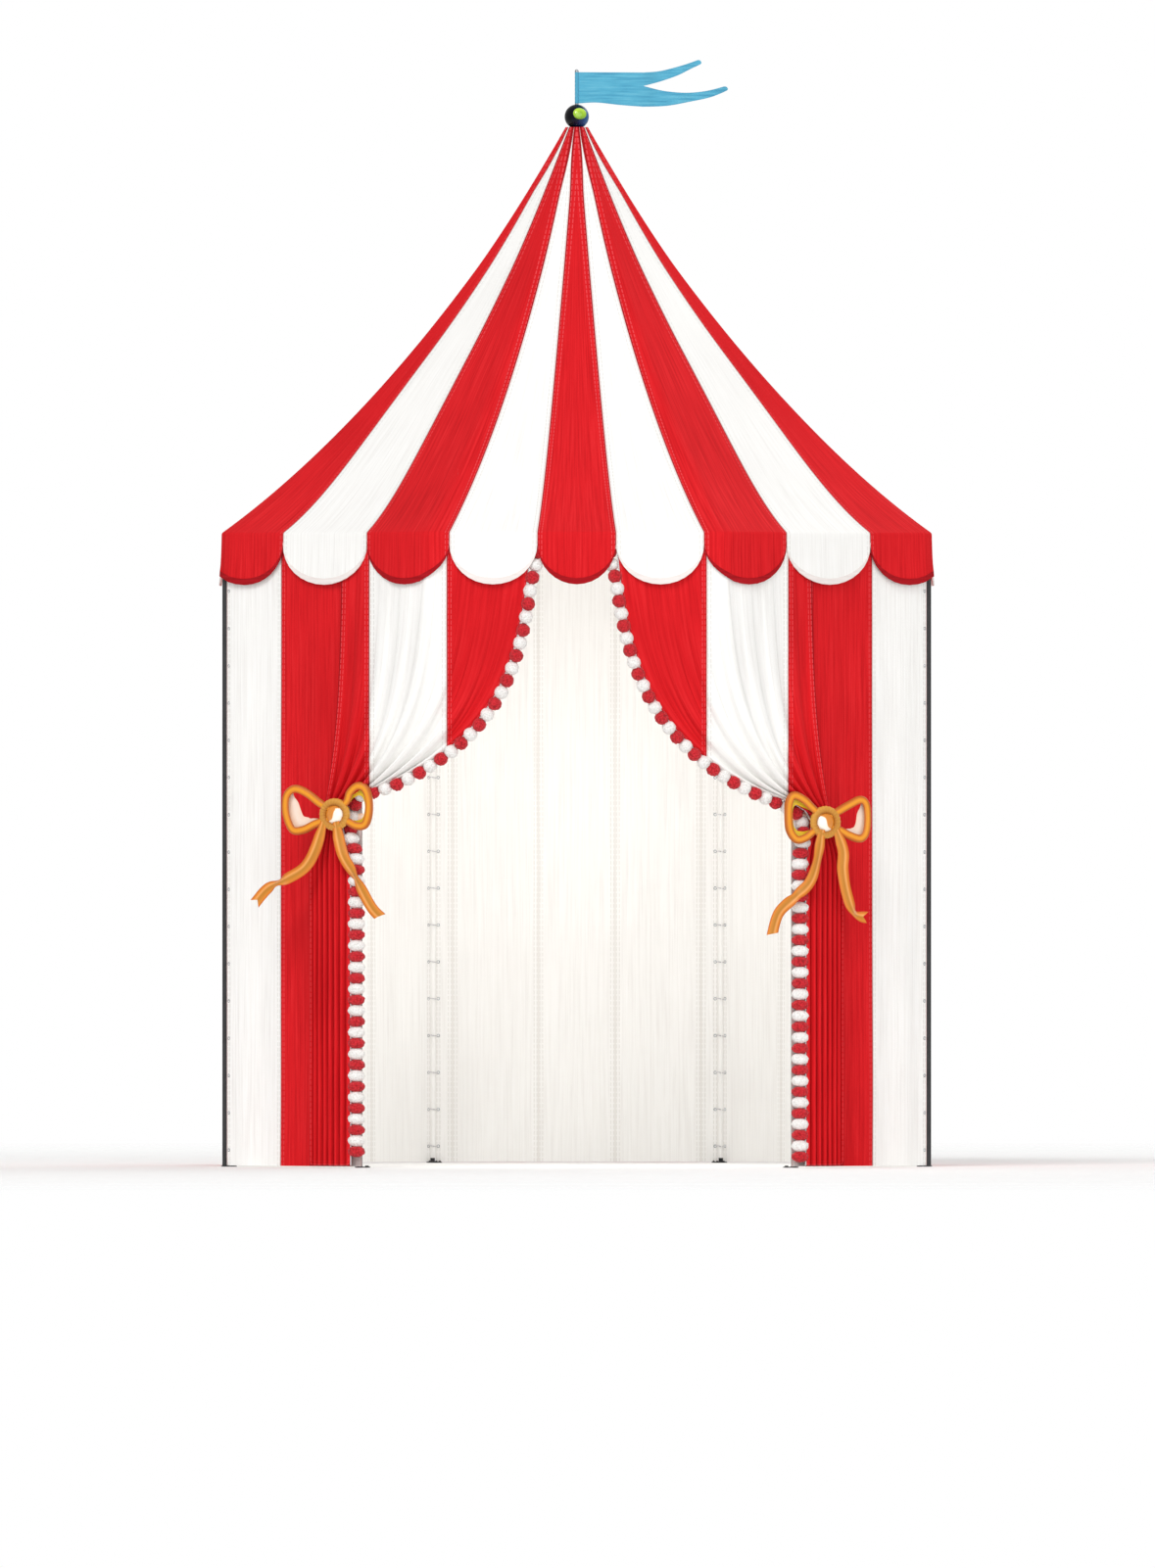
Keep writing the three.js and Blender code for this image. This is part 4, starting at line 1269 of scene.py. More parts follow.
def knot(side):
    bpy.ops.object.select_all(action="DESELECT")
    bpy.ops.mesh.primitive_torus_add(
        major_radius=KNOT_RING,
        minor_radius=KNOT_ROUND,
        major_segments=8 * KNOT_PLEATS,
        minor_segments=20,
    )
    ring = bpy.context.object
    for vertex in ring.data.vertices:
        x, y, z = vertex.co
        angle = math.atan2(y, x)
        ridge = 0.0016 * math.sin(KNOT_PLEATS * angle + 60 * z)
        ridge += 0.0012 * wander(2 * x / KNOT_RING, 2 * y / KNOT_RING, z * 30)
        grow = 1 + ridge / KNOT_ROUND
        away = math.hypot(x, y) - KNOT_RING
        reach = KNOT_RING + away * grow
        vertex.co = bow_point(reach * math.cos(angle), reach * math.sin(angle), 0.040 + z * grow, side)
    ring.data.attributes.new("seam", "FLOAT", "POINT")
    return outwards(ring)


def bead(side):
    bpy.ops.object.select_all(action="DESELECT")
    bpy.ops.mesh.primitive_uv_sphere_add(segments=48, ring_count=24, radius=0.084)
    dome = bpy.context.object
    seam = dome.data.attributes.new("seam", "FLOAT", "POINT")
    for vertex in dome.data.vertices:
        x, y, z = vertex.co
        # Here seam holds which side of the bead takes the painted highlight.
        seam.data[vertex.index].value = 0.72 * x + 0.69 * y + 0.016 * math.sin(42 * (0.7 * x - 0.7 * y))
        vertex.co = bow_point(x, y, 0.030 + 0.55 * z, side)
    return outwards(dome)


for side, hand in ((1, "right"), (-1, "left")):
    parts = [ribbon_loop(LOOPS[hand][n], FOCUS[hand][n], turn, side) for n, turn in ((0, 1), (1, -1))]
    for corners, twists, cut in zip(TAILS[hand], TWISTS[hand], ("fork", "slant")):
        parts.append(ribbon_tail(corners, twists, cut, side))
    ribbon = soften(join("ribbon", parts + strap(side)), 60)
    dress(ribbon, f"bow_ribbon_{hand}", [], stands_for=[f"bow_{hand}"])
    ring = soften(knot(side), 80)
    dress(ring, f"bow_knot_{hand}", [KNOT_SATIN])
    dome = soften(bead(side), 80)
    dress(dome, f"bow_bead_{hand}", [bead_glaze_and_painted_highlight])
    area = sum(face.area for face in ribbon.data.polygons) / 2
    print("bow", hand, "ribbon area", round(area, 3))

# %% [markdown]
# The frame is plain steelwork. Posts and foot plates are painted black, and the ring, rafters,
# hub and staff are hot-dip galvanised, which leaves a grey skin of zinc crystals, the spangle.
# Real spangle is about 15 mm across; it is drawn at 25 mm, so that it shows at all.

# %% Steel and paint
SPANGLE = 0.025


def painted(name, low, high, roughness, coat=0.0):
    material, tree, shader = start_finish(name, Roughness=roughness, Coat_Weight=coat)
    at = add(tree, "ShaderNodeTexCoord")
    run = add(tree, "ShaderNodeTexNoise", {"Scale": 9.0, "Detail": 5.0}, {"Vector": at.outputs["Object"]})
    tone = add(
        tree, "ShaderNodeValToRGB", {"ramp": [(0.3, low), (0.7, high)]}, {"Fac": run.outputs["Fac"]}
    )
    tree.links.new(tone.outputs["Color"], shader.inputs["Base Color"])
    peel = add(
        tree, "ShaderNodeTexNoise", {"Scale": 260.0, "Detail": 1.0}, {"Vector": at.outputs["Object"]}
    )
    bump = add(
        tree, "ShaderNodeBump", {"Strength": 0.12, "Distance": 0.002}, {"Height": peel.outputs["Fac"]}
    )
    tree.links.new(bump.outputs[0], shader.inputs["Normal"])
    return material


BLACK_PAINT = painted("stove_enamel_black", "#151517", "#232326", 0.38)
zinc, tree, shader = start_finish("hot_dip_zinc", Metallic=1.0)
at = add(tree, "ShaderNodeTexCoord")
crystals = add(
    tree,
    "ShaderNodeTexVoronoi",
    {"Scale": 1 / SPANGLE, "Randomness": 1.0},
    {"Vector": at.outputs["Object"]},
)
tint = add(tree, "ShaderNodeSeparateXYZ", {}, {"Vector": crystals.outputs["Color"]})
grey = add(
    tree, "ShaderNodeValToRGB", {"ramp": [(0.0, "#8C9196"), (1.0, "#BFC3C7")]}, {"Fac": tint.outputs["X"]}
)
tree.links.new(grey.outputs["Color"], shader.inputs["Base Color"])
dull = add(
    tree, "ShaderNodeMapRange", {"To Min": 0.32, "To Max": 0.58}, {"Value": tint.outputs["Y"]}
)
tree.links.new(dull.outputs[0], shader.inputs["Roughness"])
bump = add(
    tree, "ShaderNodeBump", {"Strength": 0.15, "Distance": 0.002}, {"Height": crystals.outputs["Distance"]}
)
tree.links.new(bump.outputs[0], shader.inputs["Normal"])

# %% [markdown]
# Turned and round parts are spun: an outline of half the part is drawn upright beside the axis,
# and the spin operator sweeps it round. The ends on the axis are merged, so that poles are shut.

# %% Spun parts
def spun(name, outline, place=(0.0, 0.0, 0.0), sides=32):
    """outline is a list of (distance from the axis, height), from the bottom up."""
    mesh = bpy.data.meshes.new(name)
    points = [(x, 0.0, z) for x, z in outline]
    mesh.from_pydata(points, [(i, i + 1) for i in range(len(points) - 1)], [])
    piece = bpy.data.objects.new(name, mesh)
    bpy.context.scene.collection.objects.link(piece)
    pick(piece)
    bpy.ops.object.mode_set(mode="EDIT")
    bpy.ops.mesh.select_all(action="SELECT")
    bpy.ops.mesh.spin(steps=sides, angle=2 * math.pi, center=(0.0, 0.0, 0.0), axis=(0.0, 0.0, 1.0))
    bpy.ops.object.mode_set(mode="OBJECT")
    outwards(piece)
    piece.location = place
    return settle(piece)


def arc(r, z, radius, start, end, count):
    return [
        (r + radius * math.cos(math.radians(a)), z + radius * math.sin(math.radians(a)))
        for a in steps(start, end, count)
    ]


def copy_of(piece, turn):
    """A copy with its own mesh, moved by a matrix."""
    twin = piece.copy()
    twin.data = piece.data.copy()
    twin.data.transform(turn)
    bpy.context.scene.collection.objects.link(twin)
    return twin


# %% [markdown]
# A post is a 42 mm tube on a bolted foot plate. Weld collars close it below and under the ring.
# The post is modelled once over its own foot, with the plate set towards the tent's middle, and
# each copy is turned and moved to its place.

# %% Posts
FOOT_R = 0.066
FOOT_T = 0.008
FOOT_INSET = 0.038


def post_at_origin():
    """The plate's side points along +X, which each copy turns towards the tent's middle."""
    top = RING_Z - RING_TUBE_R - 0.0006
    tube = [(0.0, 0.002), (TUBE_R, 0.002), (TUBE_R, FOOT_T + 0.001), (TUBE_R + 0.0045, FOOT_T + 0.001)]
    tube += arc(TUBE_R, FOOT_T + 0.001, 0.0045, 0, 90, 5)
    tube += [(TUBE_R, z) for z in steps(0.02, top - 0.075, 12)]
    tube += [(TUBE_R + 0.003, top - 0.072), (TUBE_R + 0.003, top - 0.014), (TUBE_R, top - 0.010)]
    tube += [(TUBE_R * 0.8, top - 0.002), (0.0, top - 0.0015)]
    plate = [(0.0, 0.0), (FOOT_R - 0.002, 0.0), (FOOT_R, 0.0015), (FOOT_R, FOOT_T - 0.002)]
    plate += [(FOOT_R - 0.002, FOOT_T), (0.0, FOOT_T)]
    parts = [spun("tube", tube, sides=28), spun("plate", plate, (FOOT_INSET, 0.0, 0.0), 48)]
    bolt = [(0.0, FOOT_T - 0.001), (0.0125, FOOT_T - 0.001), (0.0125, FOOT_T + 0.0015)]
    bolt += [(0.008, FOOT_T + 0.002), (0.008, FOOT_T + 0.008)]
    bolt += [(0.006, FOOT_T + 0.0095), (0.0, FOOT_T + 0.0095)]
    for degrees in (-75, 0, 75):
        reach = FOOT_R - 0.018
        a = math.radians(degrees)
        spot = (FOOT_INSET + reach * math.cos(a), reach * math.sin(a), 0.0)
        parts.append(spun("bolt", bolt, spot, 6))
    return soften(join("post", parts), 35)


pattern = post_at_origin()
spots = {
    f"post_{name}": bay_point(bay, RING_CORNER_U, RING_R, 0.0)
    for bay, name in enumerate(
        ("front_right", "side_right", "rear_right", "rear_left", "side_left", "front_left"), start=1
    )
}
spots["jamb_post_right"] = bay_point(1, -JAMB_U, JAMB_R, 0.0)
spots["jamb_post_left"] = bay_point(7, JAMB_U, JAMB_R, 0.0)
for name, spot in spots.items():
    inwards = math.atan2(-spot.y, -spot.x)
    post = copy_of(pattern, Matrix.Translation(spot) @ Matrix.Rotation(inwards, 4, "Z"))
    dress(post, f"{name}_tube", [BLACK_PAINT], stands_for=[name])
bpy.data.objects.remove(pattern)
print("posts", len(spots))

# %% [markdown]
# The eave ring is one octagon of tube. Each rafter runs under a hip from the ring to the crown
# hub, so its line follows the canvas at a constant distance, and its two ends are pinned.

# %% Ring, rafters and hub
HUB_R = 0.055
DRUM_R = 0.084
DRUM_DEPTH = 0.212

side_steps = steps(-RING_CORNER_U, RING_CORNER_U, 8)[:-1]
ring_line = [bay_point(bay, u, RING_R, RING_Z) for bay in range(BAYS) for u in side_steps]
ring = rod("ring", ring_line, RING_TUBE_R, cyclic=True, sides=6)
dress(ring, "eave_ring_tube", [zinc], stands_for=["eave_ring"])


def rafter_point(r):
    slope = roof_slope(r)
    hip = slope * math.cos(HALF_BAY)
    facing = (slope * hip * math.cos(HALF_BAY) + 1) / math.hypot(1, slope) / math.hypot(1, hip)
    drop = (0.012 + TUBE_R + 0.0006) / facing / math.hypot(1, hip)
    return Vector((r / math.cos(HALF_BAY) - hip * drop, 0.0, roof_height(r) - drop))


line = [rafter_point(r) for r in steps(2.947, 0.118, 40)]
rafter = rod("rafter", line, TUBE_R - 0.001, sides=5)
pins = []
for end, other, reach in ((line[0], line[1], 0.035), (line[-1], line[-2], 0.035)):
    along = (other - end).normalized()
    middle = end + along * reach
    pin = rod("pin", [middle + Vector((0, y, 0)) for y in (-0.029, 0.029)], 0.007, sides=3)
    sleeve = rod("sleeve", [end + along * 0.008, end + along * 0.085], TUBE_R + 0.0015, sides=5)
    pins += [pin, sleeve]
pattern = join("rafter", [rafter, *pins])
for number in range(BAYS):
    turn = Matrix.Rotation(-math.pi / 2 + (2 * number + 1) * HALF_BAY, 4, "Z")
    beam = copy_of(pattern, turn)
    node = f"rafter_{number + 1}"
    dress(beam, f"{node}_tube", [zinc], stands_for=[node])
bpy.data.objects.remove(pattern)

top = roof_height(CROWN_R)
foot = top - DRUM_DEPTH


def shoulder(r):
    return r, roof_height(r) - 0.012 * math.hypot(1, CROWN_SLOPE) - 0.0012


hub_outline = [(0.0, foot), (0.030, foot), (0.034, foot + 0.004), (DRUM_R - 0.006, foot + 0.004)]
hub_outline += arc(DRUM_R - 0.006, foot + 0.010, 0.006, -90, 0, 4)
hub_outline += [(DRUM_R, foot + 0.06), (DRUM_R - 0.004, foot + 0.064)]
hub_outline += [(DRUM_R - 0.004, foot + 0.090), (DRUM_R, foot + 0.094)]
hub_outline += [shoulder(DRUM_R), shoulder(DRUM_R - 0.004), shoulder(HUB_R + 0.002), shoulder(HUB_R)]
hub_outline += [(HUB_R, top - 0.001), (HUB_R - 0.001, top), (0.0, top)]
hub = soften(spun("hub", hub_outline, sides=64), 30)
dress(hub, "crown_hub_casting", [zinc], stands_for=["crown_hub"])
print("rafters", BAYS, "hub from", round(foot, 3), "to", round(top, 3))

# %% [markdown]
# What holds the walls up is small and mostly hidden: webbing loops over the ring, sewn to the
# wall's head, and lacing at each post. The cord goes through an eyelet in each wall's edge and
# passes behind the post, so that from outside the post stands clear. Each is copied.

# %% Loops, lacing and eyelets
LOOP_PITCH = 0.37
LACE_PITCH = 0.32
LACE_LOW = 0.14
LACE_HIGH = 5.16
EYELET_IN = 0.0225  # from the wall's edge to the eyelet's middle
LACE_U = RING_CORNER_U - WALL_END - EYELET_IN


def webbing_loop():
    """A band round the ring's tube, which runs along X here, and a tab below it."""
    inside, outside = RING_TUBE_R + 0.0002, RING_TUBE_R + 0.0020
    section = [(inside, -0.015), (outside, -0.015), (outside, 0.015), (inside, 0.015), (inside, -0.015)]
    band = spun("band", section, sides=20)
    band.data.transform(Matrix.Rotation(math.pi / 2, 4, "Y"))
    bpy.ops.object.select_all(action="DESELECT")
    bpy.ops.mesh.primitive_cube_add(size=1.0, location=(0.0, 0.0042, -0.052))
    tab = bpy.context.object
    tab.scale = (0.030, 0.0022, 0.060)
    apply(settle(tab), "BEVEL", width=0.0008, segments=2)
    return soften(join("loop", [band, tab]), 40)


def eyelet():
    bpy.ops.object.select_all(action="DESELECT")
    bpy.ops.mesh.primitive_torus_add(
        major_radius=0.0115, minor_radius=0.0034, major_segments=14, minor_segments=6
    )
    ring = bpy.context.object
    ring.data.transform(Matrix.Rotation(math.pi / 2, 4, "X"))
    return soften(ring, 180)


def lace_line():
    """From one eyelet behind the first bay's right-hand post to the next bay's eyelet."""
    behind = bay_point(0, RING_CORNER_U, RING_R, 0.0)
    inwards = -behind.normalized()
    across = Vector((-inwards.y, inwards.x, 0.0))
    near = [bay_point(0, LACE_U, RING_R + out, -0.006) for out in (0.009, 0.004, -0.007)]
    far = [bay_point(1, -LACE_U, RING_R + out, 0.006) for out in (-0.007, 0.004, 0.009)]
    bend = [behind + inwards * 0.034 + across * way for way in (-0.012, 0.012)]
    return near + bend + far


lace = rod("lace", lace_line(), 0.0028, sides=1)
patterns = {"webbing": webbing_loop(), "eyelets": eyelet(), "lacing": lace}
finishes = {"webbing": PALE_BINDING, "eyelets": zinc, "lacing": trim}
lace_heights = steps(LACE_LOW, LACE_HIGH, round((LACE_HIGH - LACE_LOW) / LACE_PITCH))
fittings = {}
for bay in range(1, BAYS):
    turn = Matrix.Rotation(bay * 2 * HALF_BAY, 4, "Z")
    start = -DOOR_EDGE_U if bay == 1 else WALL_END - RING_CORNER_U
    end = DOOR_EDGE_U if bay == BAYS - 1 else RING_CORNER_U - WALL_END
    count = round((end - start - 0.12) / LOOP_PITCH)
    sides = [way for way in (-1, 1) if (bay, way) not in ((1, -1), (BAYS - 1, 1))]
    hung = [bay_point(bay, u, RING_R, RING_Z) for u in steps(start + 0.06, end - 0.06, count)]
    held = [bay_point(bay, way * LACE_U, RING_R, z) for way in sides for z in lace_heights]
    made = {
        "webbing": [Matrix.Translation(spot) @ turn for spot in hung],
        "eyelets": [Matrix.Translation(spot) @ turn for spot in held],
        "lacing": [turn @ Matrix.Translation((0.0, 0.0, z)) for z in lace_heights if bay < BAYS - 1],
    }
    for kind, places in made.items():
        if not places:
            continue
        piece = join(kind, [copy_of(patterns[kind], place) for place in places])
        if kind == "webbing":
            piece.data.attributes.new("seam", "FLOAT", "POINT")
        dress(piece, f"wall_{kind}_{WALL_NAMES[bay]}", [finishes[kind]])
        fittings[kind] = fittings.get(kind, 0) + len(places)
for pattern in patterns.values():
    bpy.data.objects.remove(pattern)
print("fittings", fittings)

# %% [markdown]
# The two rear posts can be seen through the doorway, so each wears a sleeve of the lining's white
# canvas, wrapped round and lapped at the back, and the inside stays white all round.

# %% Post sleeves
SLEEVE_R = 0.0270
SLEEVE_LAP = 0.5  # radians that the wrap goes on past a whole turn


def sleeve_point(name, turn, z):
    spot = spots[f"post_{name}"]
    lapped = 0.0016 if turn > 2 * math.pi else 0.0
    r = SLEEVE_R + 0.0010 * wander(3 * turn, z * 5, 4.0) + lapped
    base = math.atan2(-spot.y, -spot.x) + 2.2
    point = spot + Vector((r * math.cos(base + turn), r * math.sin(base + turn), z))
    run = turn * SLEEVE_R
    return point, (run, z), min(run, (2 * math.pi + SLEEVE_LAP) * SLEEVE_R - run)


for name in ("rear_right", "rear_left"):
    turns, heights = steps(0.0, 2 * math.pi + SLEEVE_LAP, 30), steps(0.04, 5.20, 90)
    sleeve = cloth_grid("sleeve", turns, heights, lambda turn, z: sleeve_point(name, turn, z))
    back_with_lining(sleeve, [LINING], linings=0, thickness=0.0016)
    dress(soften(sleeve, 70), f"post_sleeve_{name}", [])
print("post sleeves 2")

# %% [markdown]
# The ball is spun metal under glossy navy enamel. Its colour runs from black on one side to blue
# on the other: this is painted light and shade, laid across the ball from its own coordinates.
# A lime glass eye is set in its front, a low dome in a thin rim, with a darker core, and its top is
# painted paler as a painted highlight.

# %% Ball
BALL_R = 0.103
BALL_Z = 8.8624
COLLAR_Z = 8.7536

navy, tree, shader = start_finish("vitreous_enamel_navy_painted_light", Roughness=0.16, Specular_IOR_Level=0.22)
at = add(tree, "ShaderNodeTexCoord")
centred = add(
    tree,
    "ShaderNodeMapping",
    {"Location": (0.0, 0.0, -BALL_Z / BALL_R), "Scale": (1 / BALL_R, 1 / BALL_R, 1 / BALL_R)},
    {"Vector": at.outputs["Object"]},
)
# Painted light and shade: the enamel is painted blue towards one side of the ball and black towards the
# other.
painted_light_side = add(
    tree,
    "ShaderNodeVectorMath",
    {"operation": "DOT_PRODUCT", 1: (0.80, -0.25, -0.10)},
    {0: centred.outputs[0]},
)
fired = add(tree, "ShaderNodeTexNoise", {"Scale": 2.2, "Detail": 3.0}, {"Vector": centred.outputs[0]})
depth = add(
    tree,
    "ShaderNodeMath",
    {"operation": "MULTIPLY_ADD", 1: 0.45},
    {0: fired.outputs["Fac"], 2: painted_light_side.outputs["Value"]},
)
deep = add(
    tree,
    "ShaderNodeValToRGB",
    {"ramp": [(0.1, "#020208"), (0.55, "#0A1030"), (0.85, "#1C3A6E"), (1.0, "#2C5C92")]},
    {"Fac": depth.outputs[0]},
)
tree.links.new(deep.outputs["Color"], shader.inputs["Base Color"])

outline = [(0.0, COLLAR_Z), (0.076, COLLAR_Z), (0.078, COLLAR_Z + 0.002)]
outline += [(0.078, COLLAR_Z + 0.010), (0.075, COLLAR_Z + 0.012), (0.040, COLLAR_Z + 0.012)]
outline += arc(0.0, BALL_Z, BALL_R, -69.0, 80.0, 48)
outline += [(0.0, BALL_Z + BALL_R * math.sin(math.radians(80.0)))]
ball = soften(spun("ball", outline, sides=72), 35)
dress(ball, "finial_ball_enamel", [navy], stands_for=["finial_ball"])

lime, tree, shader = start_finish("cast_glass_lime_painted_highlight", Roughness=0.10, Coat_Weight=0.8)
at = add(tree, "ShaderNodeTexCoord")
inside_eye = add(
    tree, "ShaderNodeTexNoise", {"Scale": 38.0, "Detail": 3.0}, {"Vector": at.outputs["Object"]}
)
up = add(tree, "ShaderNodeSeparateXYZ", {}, {"Vector": at.outputs["Object"]})
# Painted highlight: the eye is painted paler towards its top.
rise = add(
    tree,
    "ShaderNodeMapRange",
    {"From Min": BALL_Z - 0.03, "From Max": BALL_Z + 0.08},
    {"Value": up.outputs["Z"]},
)
eye_cloud_and_painted_highlight = add(
    tree,
    "ShaderNodeMath",
    {"operation": "MULTIPLY_ADD", 1: 0.30},
    {0: inside_eye.outputs["Fac"], 2: rise.outputs[0]},
)
green = add(
    tree,
    "ShaderNodeValToRGB",
    {"ramp": [(0.2, "#6C9E04"), (0.55, "#98C80C"), (0.95, "#BCE038")]},
    {"Fac": eye_cloud_and_painted_highlight.outputs[0]},
)
EYE_OUT = Vector((0.295, -0.916, 0.27)).normalized()
eye_middle = Vector((0.0, 0.0, BALL_Z)) + EYE_OUT * BALL_R
from_middle = add(
    tree, "ShaderNodeVectorMath", {"operation": "DISTANCE", 1: eye_middle}, {0: at.outputs["Object"]}
)
core = add(
    tree,
    "ShaderNodeMapRange",
    {"From Min": 0.008, "From Max": 0.030, "To Min": 0.55, "To Max": 0.0},
    {"Value": from_middle.outputs["Value"]},
)
cored = add(
    tree,
    "ShaderNodeMix",
    {"data_type": "RGBA", "B": colour("#5E9204")},
    {"A": green.outputs["Color"], "Factor": core.outputs[0]},
)
tree.links.new(cored.outputs["Result"], shader.inputs["Base Color"])

eye_frame = EYE_OUT.to_track_quat("Z", "Y").to_matrix().to_4x4()
eye_seat = Matrix.Translation(Vector((0.0, 0.0, BALL_Z)) + EYE_OUT * (BALL_R * 0.86)) @ eye_frame
dome = [(0.0, -0.014), (0.059, -0.014)] + arc(0.0, -0.006, 0.059, 0, 90, 16)
dome = [(x, z if z < 0 else z * 0.44) for x, z in dome]
eye = spun("eye", dome, sides=48)
eye.data.transform(eye_seat @ Matrix.Diagonal((1.0, 0.86, 1.0, 1.0)))
rim = spun("rim", arc(0.0595, -0.004, 0.0035, -180, 180, 12), sides=48)
rim.data.transform(eye_seat @ Matrix.Diagonal((1.0, 0.86, 1.0, 1.0)))
dress(soften(eye, 60), "finial_eye", [lime])
dress(soften(rim, 60), "finial_eye_rim", [navy])
print("ball top at", round(BALL_Z + BALL_R, 3))

# %% [markdown]
# The staff is a turned rod with a stop below the pennant's sleeve and a button on top, so that
# the pennant swings round it freely. It is galvanised like the rest of the roof's steel.

# %% Staff
STAFF_R = 0.009
STAFF_FOOT = BALL_Z + BALL_R * math.sin(math.radians(80.0)) + 0.0003
PENNANT_LOW = 8.974
PENNANT_HIGH = 9.238

stop_top = PENNANT_LOW - 0.0003
rod_outline = [(0.0, STAFF_FOOT), (0.0150, STAFF_FOOT), (0.0160, STAFF_FOOT + 0.001)]
rod_outline += [(0.0160, stop_top - 0.001), (0.0155, stop_top), (STAFF_R, stop_top)]
rod_outline += [(STAFF_R, PENNANT_HIGH + 0.0003), (0.0160, PENNANT_HIGH + 0.0003)]
rod_outline += arc(0.0, PENNANT_HIGH + 0.0080, 0.0160, 0, 90, 8)
staff = soften(spun("staff", rod_outline, sides=32), 40)
dress(staff, "flag_staff_rod", [zinc], stands_for=["flag_staff"])

# %% [markdown]
# Bunting is thin worsted cloth, dyed in the yarn, which flags are sewn from. Its weft shows as
# fine lines along the flag, drawn at about 17 mm, and the turned hem is a shade darker.

# %% Bunting
def bunting(name, dark, mid, light):
    material, tree, shader = start_finish(name, Roughness=0.8, Sheen_Weight=0.15)
    at = add(tree, "ShaderNodeTexCoord")
    long = add(tree, "ShaderNodeMapping", {"Scale": (3.0, 60.0, 1.0)}, {"Vector": at.outputs["UV"]})
    slubs = add(
        tree,
        "ShaderNodeTexNoise",
        {"Scale": 1.0, "Detail": 4.0, "Roughness": 0.6},
        {"Vector": long.outputs[0]},
    )
    dyed = add(
        tree,
        "ShaderNodeValToRGB",
        {"ramp": [(0.28, dark), (0.5, mid), (0.75, light)]},
        {"Fac": slubs.outputs["Fac"]},
    )
    edge = add(tree, "ShaderNodeAttribute", {"attribute_name": "seam"})
    hem = add(
        tree,
        "ShaderNodeMapRange",
        {"From Min": 0.007, "From Max": 0.010, "To Min": 0.3, "To Max": 0.0},
        {"Value": edge.outputs["Fac"]},
    )
    hemmed = add(
        tree,
        "ShaderNodeMix",
        {"data_type": "RGBA", "B": colour(dark)},
        {"A": dyed.outputs["Color"], "Factor": hem.outputs[0]},
    )
    tree.links.new(hemmed.outputs["Result"], shader.inputs["Base Color"])
    bump = add(
        tree, "ShaderNodeBump", {"Strength": 0.3, "Distance": 0.003}, {"Height": slubs.outputs["Fac"]}
    )
    tree.links.new(bump.outputs[0], shader.inputs["Normal"])
    return material


BLUE_BUNTING = bunting("worsted_bunting_blue", "#378BB0", "#4FA9C8", "#6CBCD4")

# %% [markdown]
# The pennant is cut with two tips. It is built as two strips of cloth that are one as far as the
# notch and part there. It ripples more and more towards its tips, where the wind has more hold.

# %% Pennant
UPPER_EDGE = [(0.0135, 9.238), (0.2, 9.237), (0.4, 9.236), (0.564, 9.235)]
UPPER_EDGE += [(0.70, 9.247), (0.85, 9.284), (0.95, 9.314), (1.038, 9.346)]
TO_NOTCH = [(0.0135, 9.114), (0.2, 9.116), (0.4, 9.119), (0.564, 9.121)]
NOTCH_TOP = TO_NOTCH + [(0.70, 9.158), (0.85, 9.210), (0.955, 9.262), (1.060, 9.310)]
NOTCH_LOW = TO_NOTCH + [(0.74, 9.080), (0.93, 9.064), (1.10, 9.080), (1.262, 9.122)]
LOWER_EDGE = [(0.0135, 8.974), (0.17, 8.981), (0.37, 8.960), (0.56, 8.946)]
LOWER_EDGE += [(0.76, 8.954), (0.95, 8.987), (1.13, 9.026), (1.284, 9.088)]


def edge_points(pairs, count=24):
    """The line to the notch and the line beyond it, joined, so that the notch stays sharp."""
    near = smooth_line(pairs[:4], count)
    return near + smooth_line(pairs[3:], count)[1:]


def pennant_strip(low, high, outer):
    bottom, top = edge_points(low), edge_points(high)

    def place(i, j):
        across = j / 8
        flat = bottom[i].lerp(top[i], across)
        if i >= len(top) - 3:
            rounding = 0.016 * (2 * across - 1) ** 4 * (i - len(top) + 4) / 3
            flat -= (top[i] - top[i - 1]).normalized() * rounding
        x, z = flat.x, flat.y
        swing = 0.045 * smooth(x / 0.9) * math.sin(2 * math.pi * x / 0.62 - 2.2 * (z - 9.1) + 0.3)
        swing += 0.006 * math.sin(2 * math.pi * x / 0.21) * smooth(x / 0.3)
        height = (top[i] - bottom[i]).length
        seam = height * (1 - across if outer == "top" else across)
        if i > 24:
            seam = min(seam, height * min(across, 1 - across))
        return Vector((x, swing, z)), (x, z), seam

    return cloth_grid("strip", list(range(len(bottom))), list(range(9)), place)


strips = [pennant_strip(NOTCH_TOP, UPPER_EDGE, "top"), pennant_strip(LOWER_EDGE, NOTCH_LOW, "bottom")]
pennant = join("pennant", strips)
pick(pennant)
bpy.ops.object.mode_set(mode="EDIT")
bpy.ops.mesh.select_all(action="SELECT")
bpy.ops.mesh.remove_doubles(threshold=0.0002)
bpy.ops.object.mode_set(mode="OBJECT")
apply(pennant, "SOLIDIFY", thickness=0.002, offset=0.0)
soften(pennant, 60)
dress(pennant, "pennant_bunting", [BLUE_BUNTING], "pennant_body", ["pennant"])
gathers = enumerate(steps(PENNANT_LOW + 0.01, PENNANT_HIGH - 0.01, 14))
sleeve_outline = [(0.0105, PENNANT_LOW), (0.0155, PENNANT_LOW), (0.0160, PENNANT_LOW + 0.002)]
sleeve_outline += [(0.0160 + 0.0006 * (-1) ** i, z) for i, z in gathers]
sleeve_outline += [(0.0160, PENNANT_HIGH - 0.002), (0.0155, PENNANT_HIGH)]
sleeve_outline += [(0.0105, PENNANT_HIGH), (0.0105, PENNANT_LOW)]
sleeve = soften(spun("sleeve", sleeve_outline, sides=32), 60)
sleeve.data.attributes.new("seam", "FLOAT", "POINT")
dress(sleeve, "pennant_sleeve", [BLUE_BUNTING], "pennant_body")
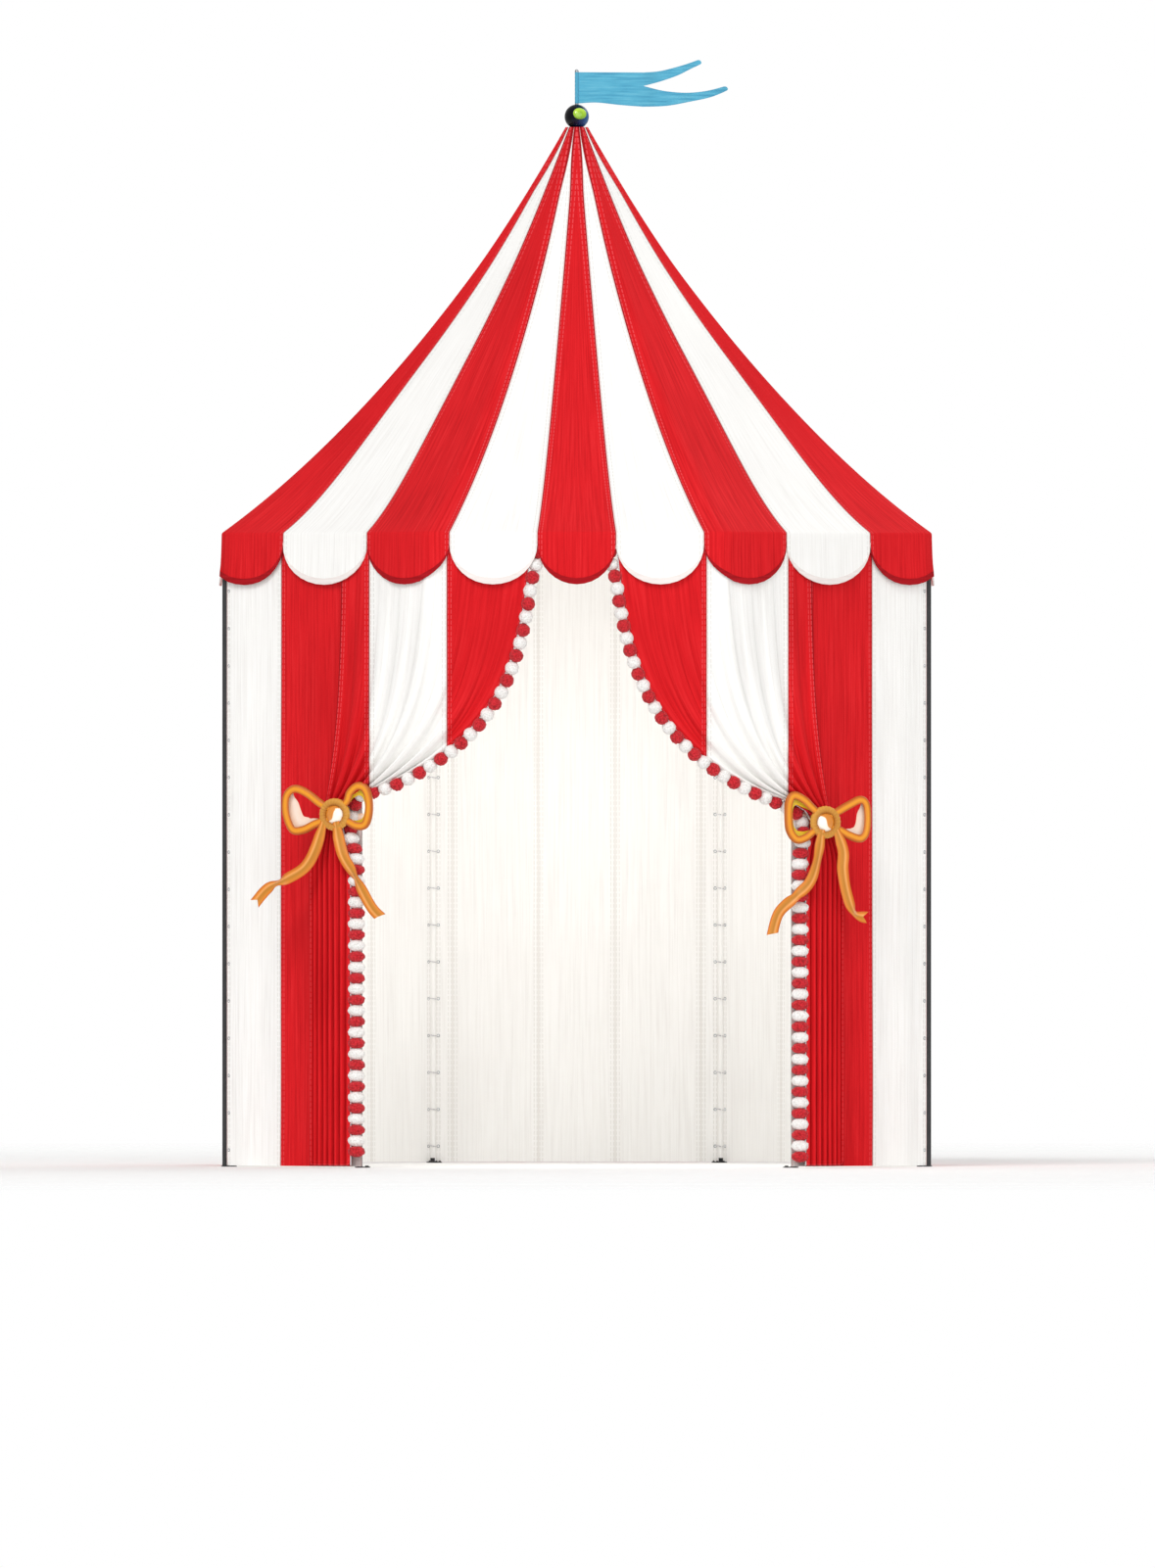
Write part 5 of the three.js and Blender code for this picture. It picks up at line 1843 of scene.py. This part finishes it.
area = sum(face.area for face in pennant.data.polygons) / 2
print("pennant area", round(area, 3))

# %% [markdown]
# A plain pale floor and soft light are all the stage needs. The floor fades out towards its rim,
# so that no edge shows from any side. The world is bright to the camera and softer to the tent.
# A broad sun from the left gives the folds their shape, a wide one from the front lights the
# doorway's side, a weak one from behind fills the back, and a lamp hangs inside, because white
# canvas lets much daylight through, and the inside of such a tent is bright.

# %% Floor and light
FLOOR_R = 60.0

bpy.ops.object.select_all(action="DESELECT")
bpy.ops.mesh.primitive_circle_add(
    vertices=96, radius=FLOOR_R, fill_type="NGON", location=(0.0, 0.0, -0.001)
)
floor = settle(bpy.context.object)
floor.name = "floor"
floor_paint, tree, shader = start_finish("matt_floor_paint_white", Roughness=0.9)
at = add(tree, "ShaderNodeTexCoord")
far = add(tree, "ShaderNodeVectorMath", {"operation": "LENGTH"}, {0: at.outputs["Object"]})
fade = add(
    tree,
    "ShaderNodeMapRange",
    {"From Min": 7.0, "From Max": 30.0, "To Min": 1.0, "To Max": 0.0, "interpolation_type": "SMOOTHSTEP"},
    {"Value": far.outputs["Value"]},
)
tree.links.new(fade.outputs[0], shader.inputs["Alpha"])
dust = add(tree, "ShaderNodeTexNoise", {"Scale": 3.0, "Detail": 5.0}, {"Vector": at.outputs["Object"]})
tone = add(
    tree,
    "ShaderNodeValToRGB",
    {"ramp": [(0.3, "#F6F6F5"), (0.7, "#FBFBFA")]},
    {"Fac": dust.outputs["Fac"]},
)
tree.links.new(tone.outputs["Color"], shader.inputs["Base Color"])
floor.data.materials.append(floor_paint)

world = bpy.data.worlds.new("studio")
bpy.context.scene.world = world
world.use_nodes = True
tree = world.node_tree
path = add(tree, "ShaderNodeLightPath")
strength = add(
    tree,
    "ShaderNodeMapRange",
    {"To Min": 0.57, "To Max": 1.0},
    {"Value": path.outputs["Is Camera Ray"]},
)
background = tree.nodes["Background"]
background.inputs["Color"].default_value = (1.0, 1.0, 1.0, 1.0)
tree.links.new(strength.outputs[0], background.inputs["Strength"])


def sun(name, energy, spread, turn):
    data = bpy.data.lights.new(name, "SUN")
    data.energy = energy
    data.angle = math.radians(spread)
    light = bpy.data.objects.new(name, data)
    light.rotation_euler = [math.radians(a) for a in turn]
    bpy.context.scene.collection.objects.link(light)


sun("key", 1.10, 24, (48, 0, -22))
sun("front", 0.94, 60, (80, 0, 14))
sun("fill", 0.7, 50, (52, 0, 150))
inside_data = bpy.data.lights.new("inside", "POINT")
inside_data.energy = 124.0
inside_data.shadow_soft_size = 0.7
inside = bpy.data.objects.new("inside", inside_data)
inside.location = (0.0, 0.0, 3.4)
bpy.context.scene.collection.objects.link(inside)
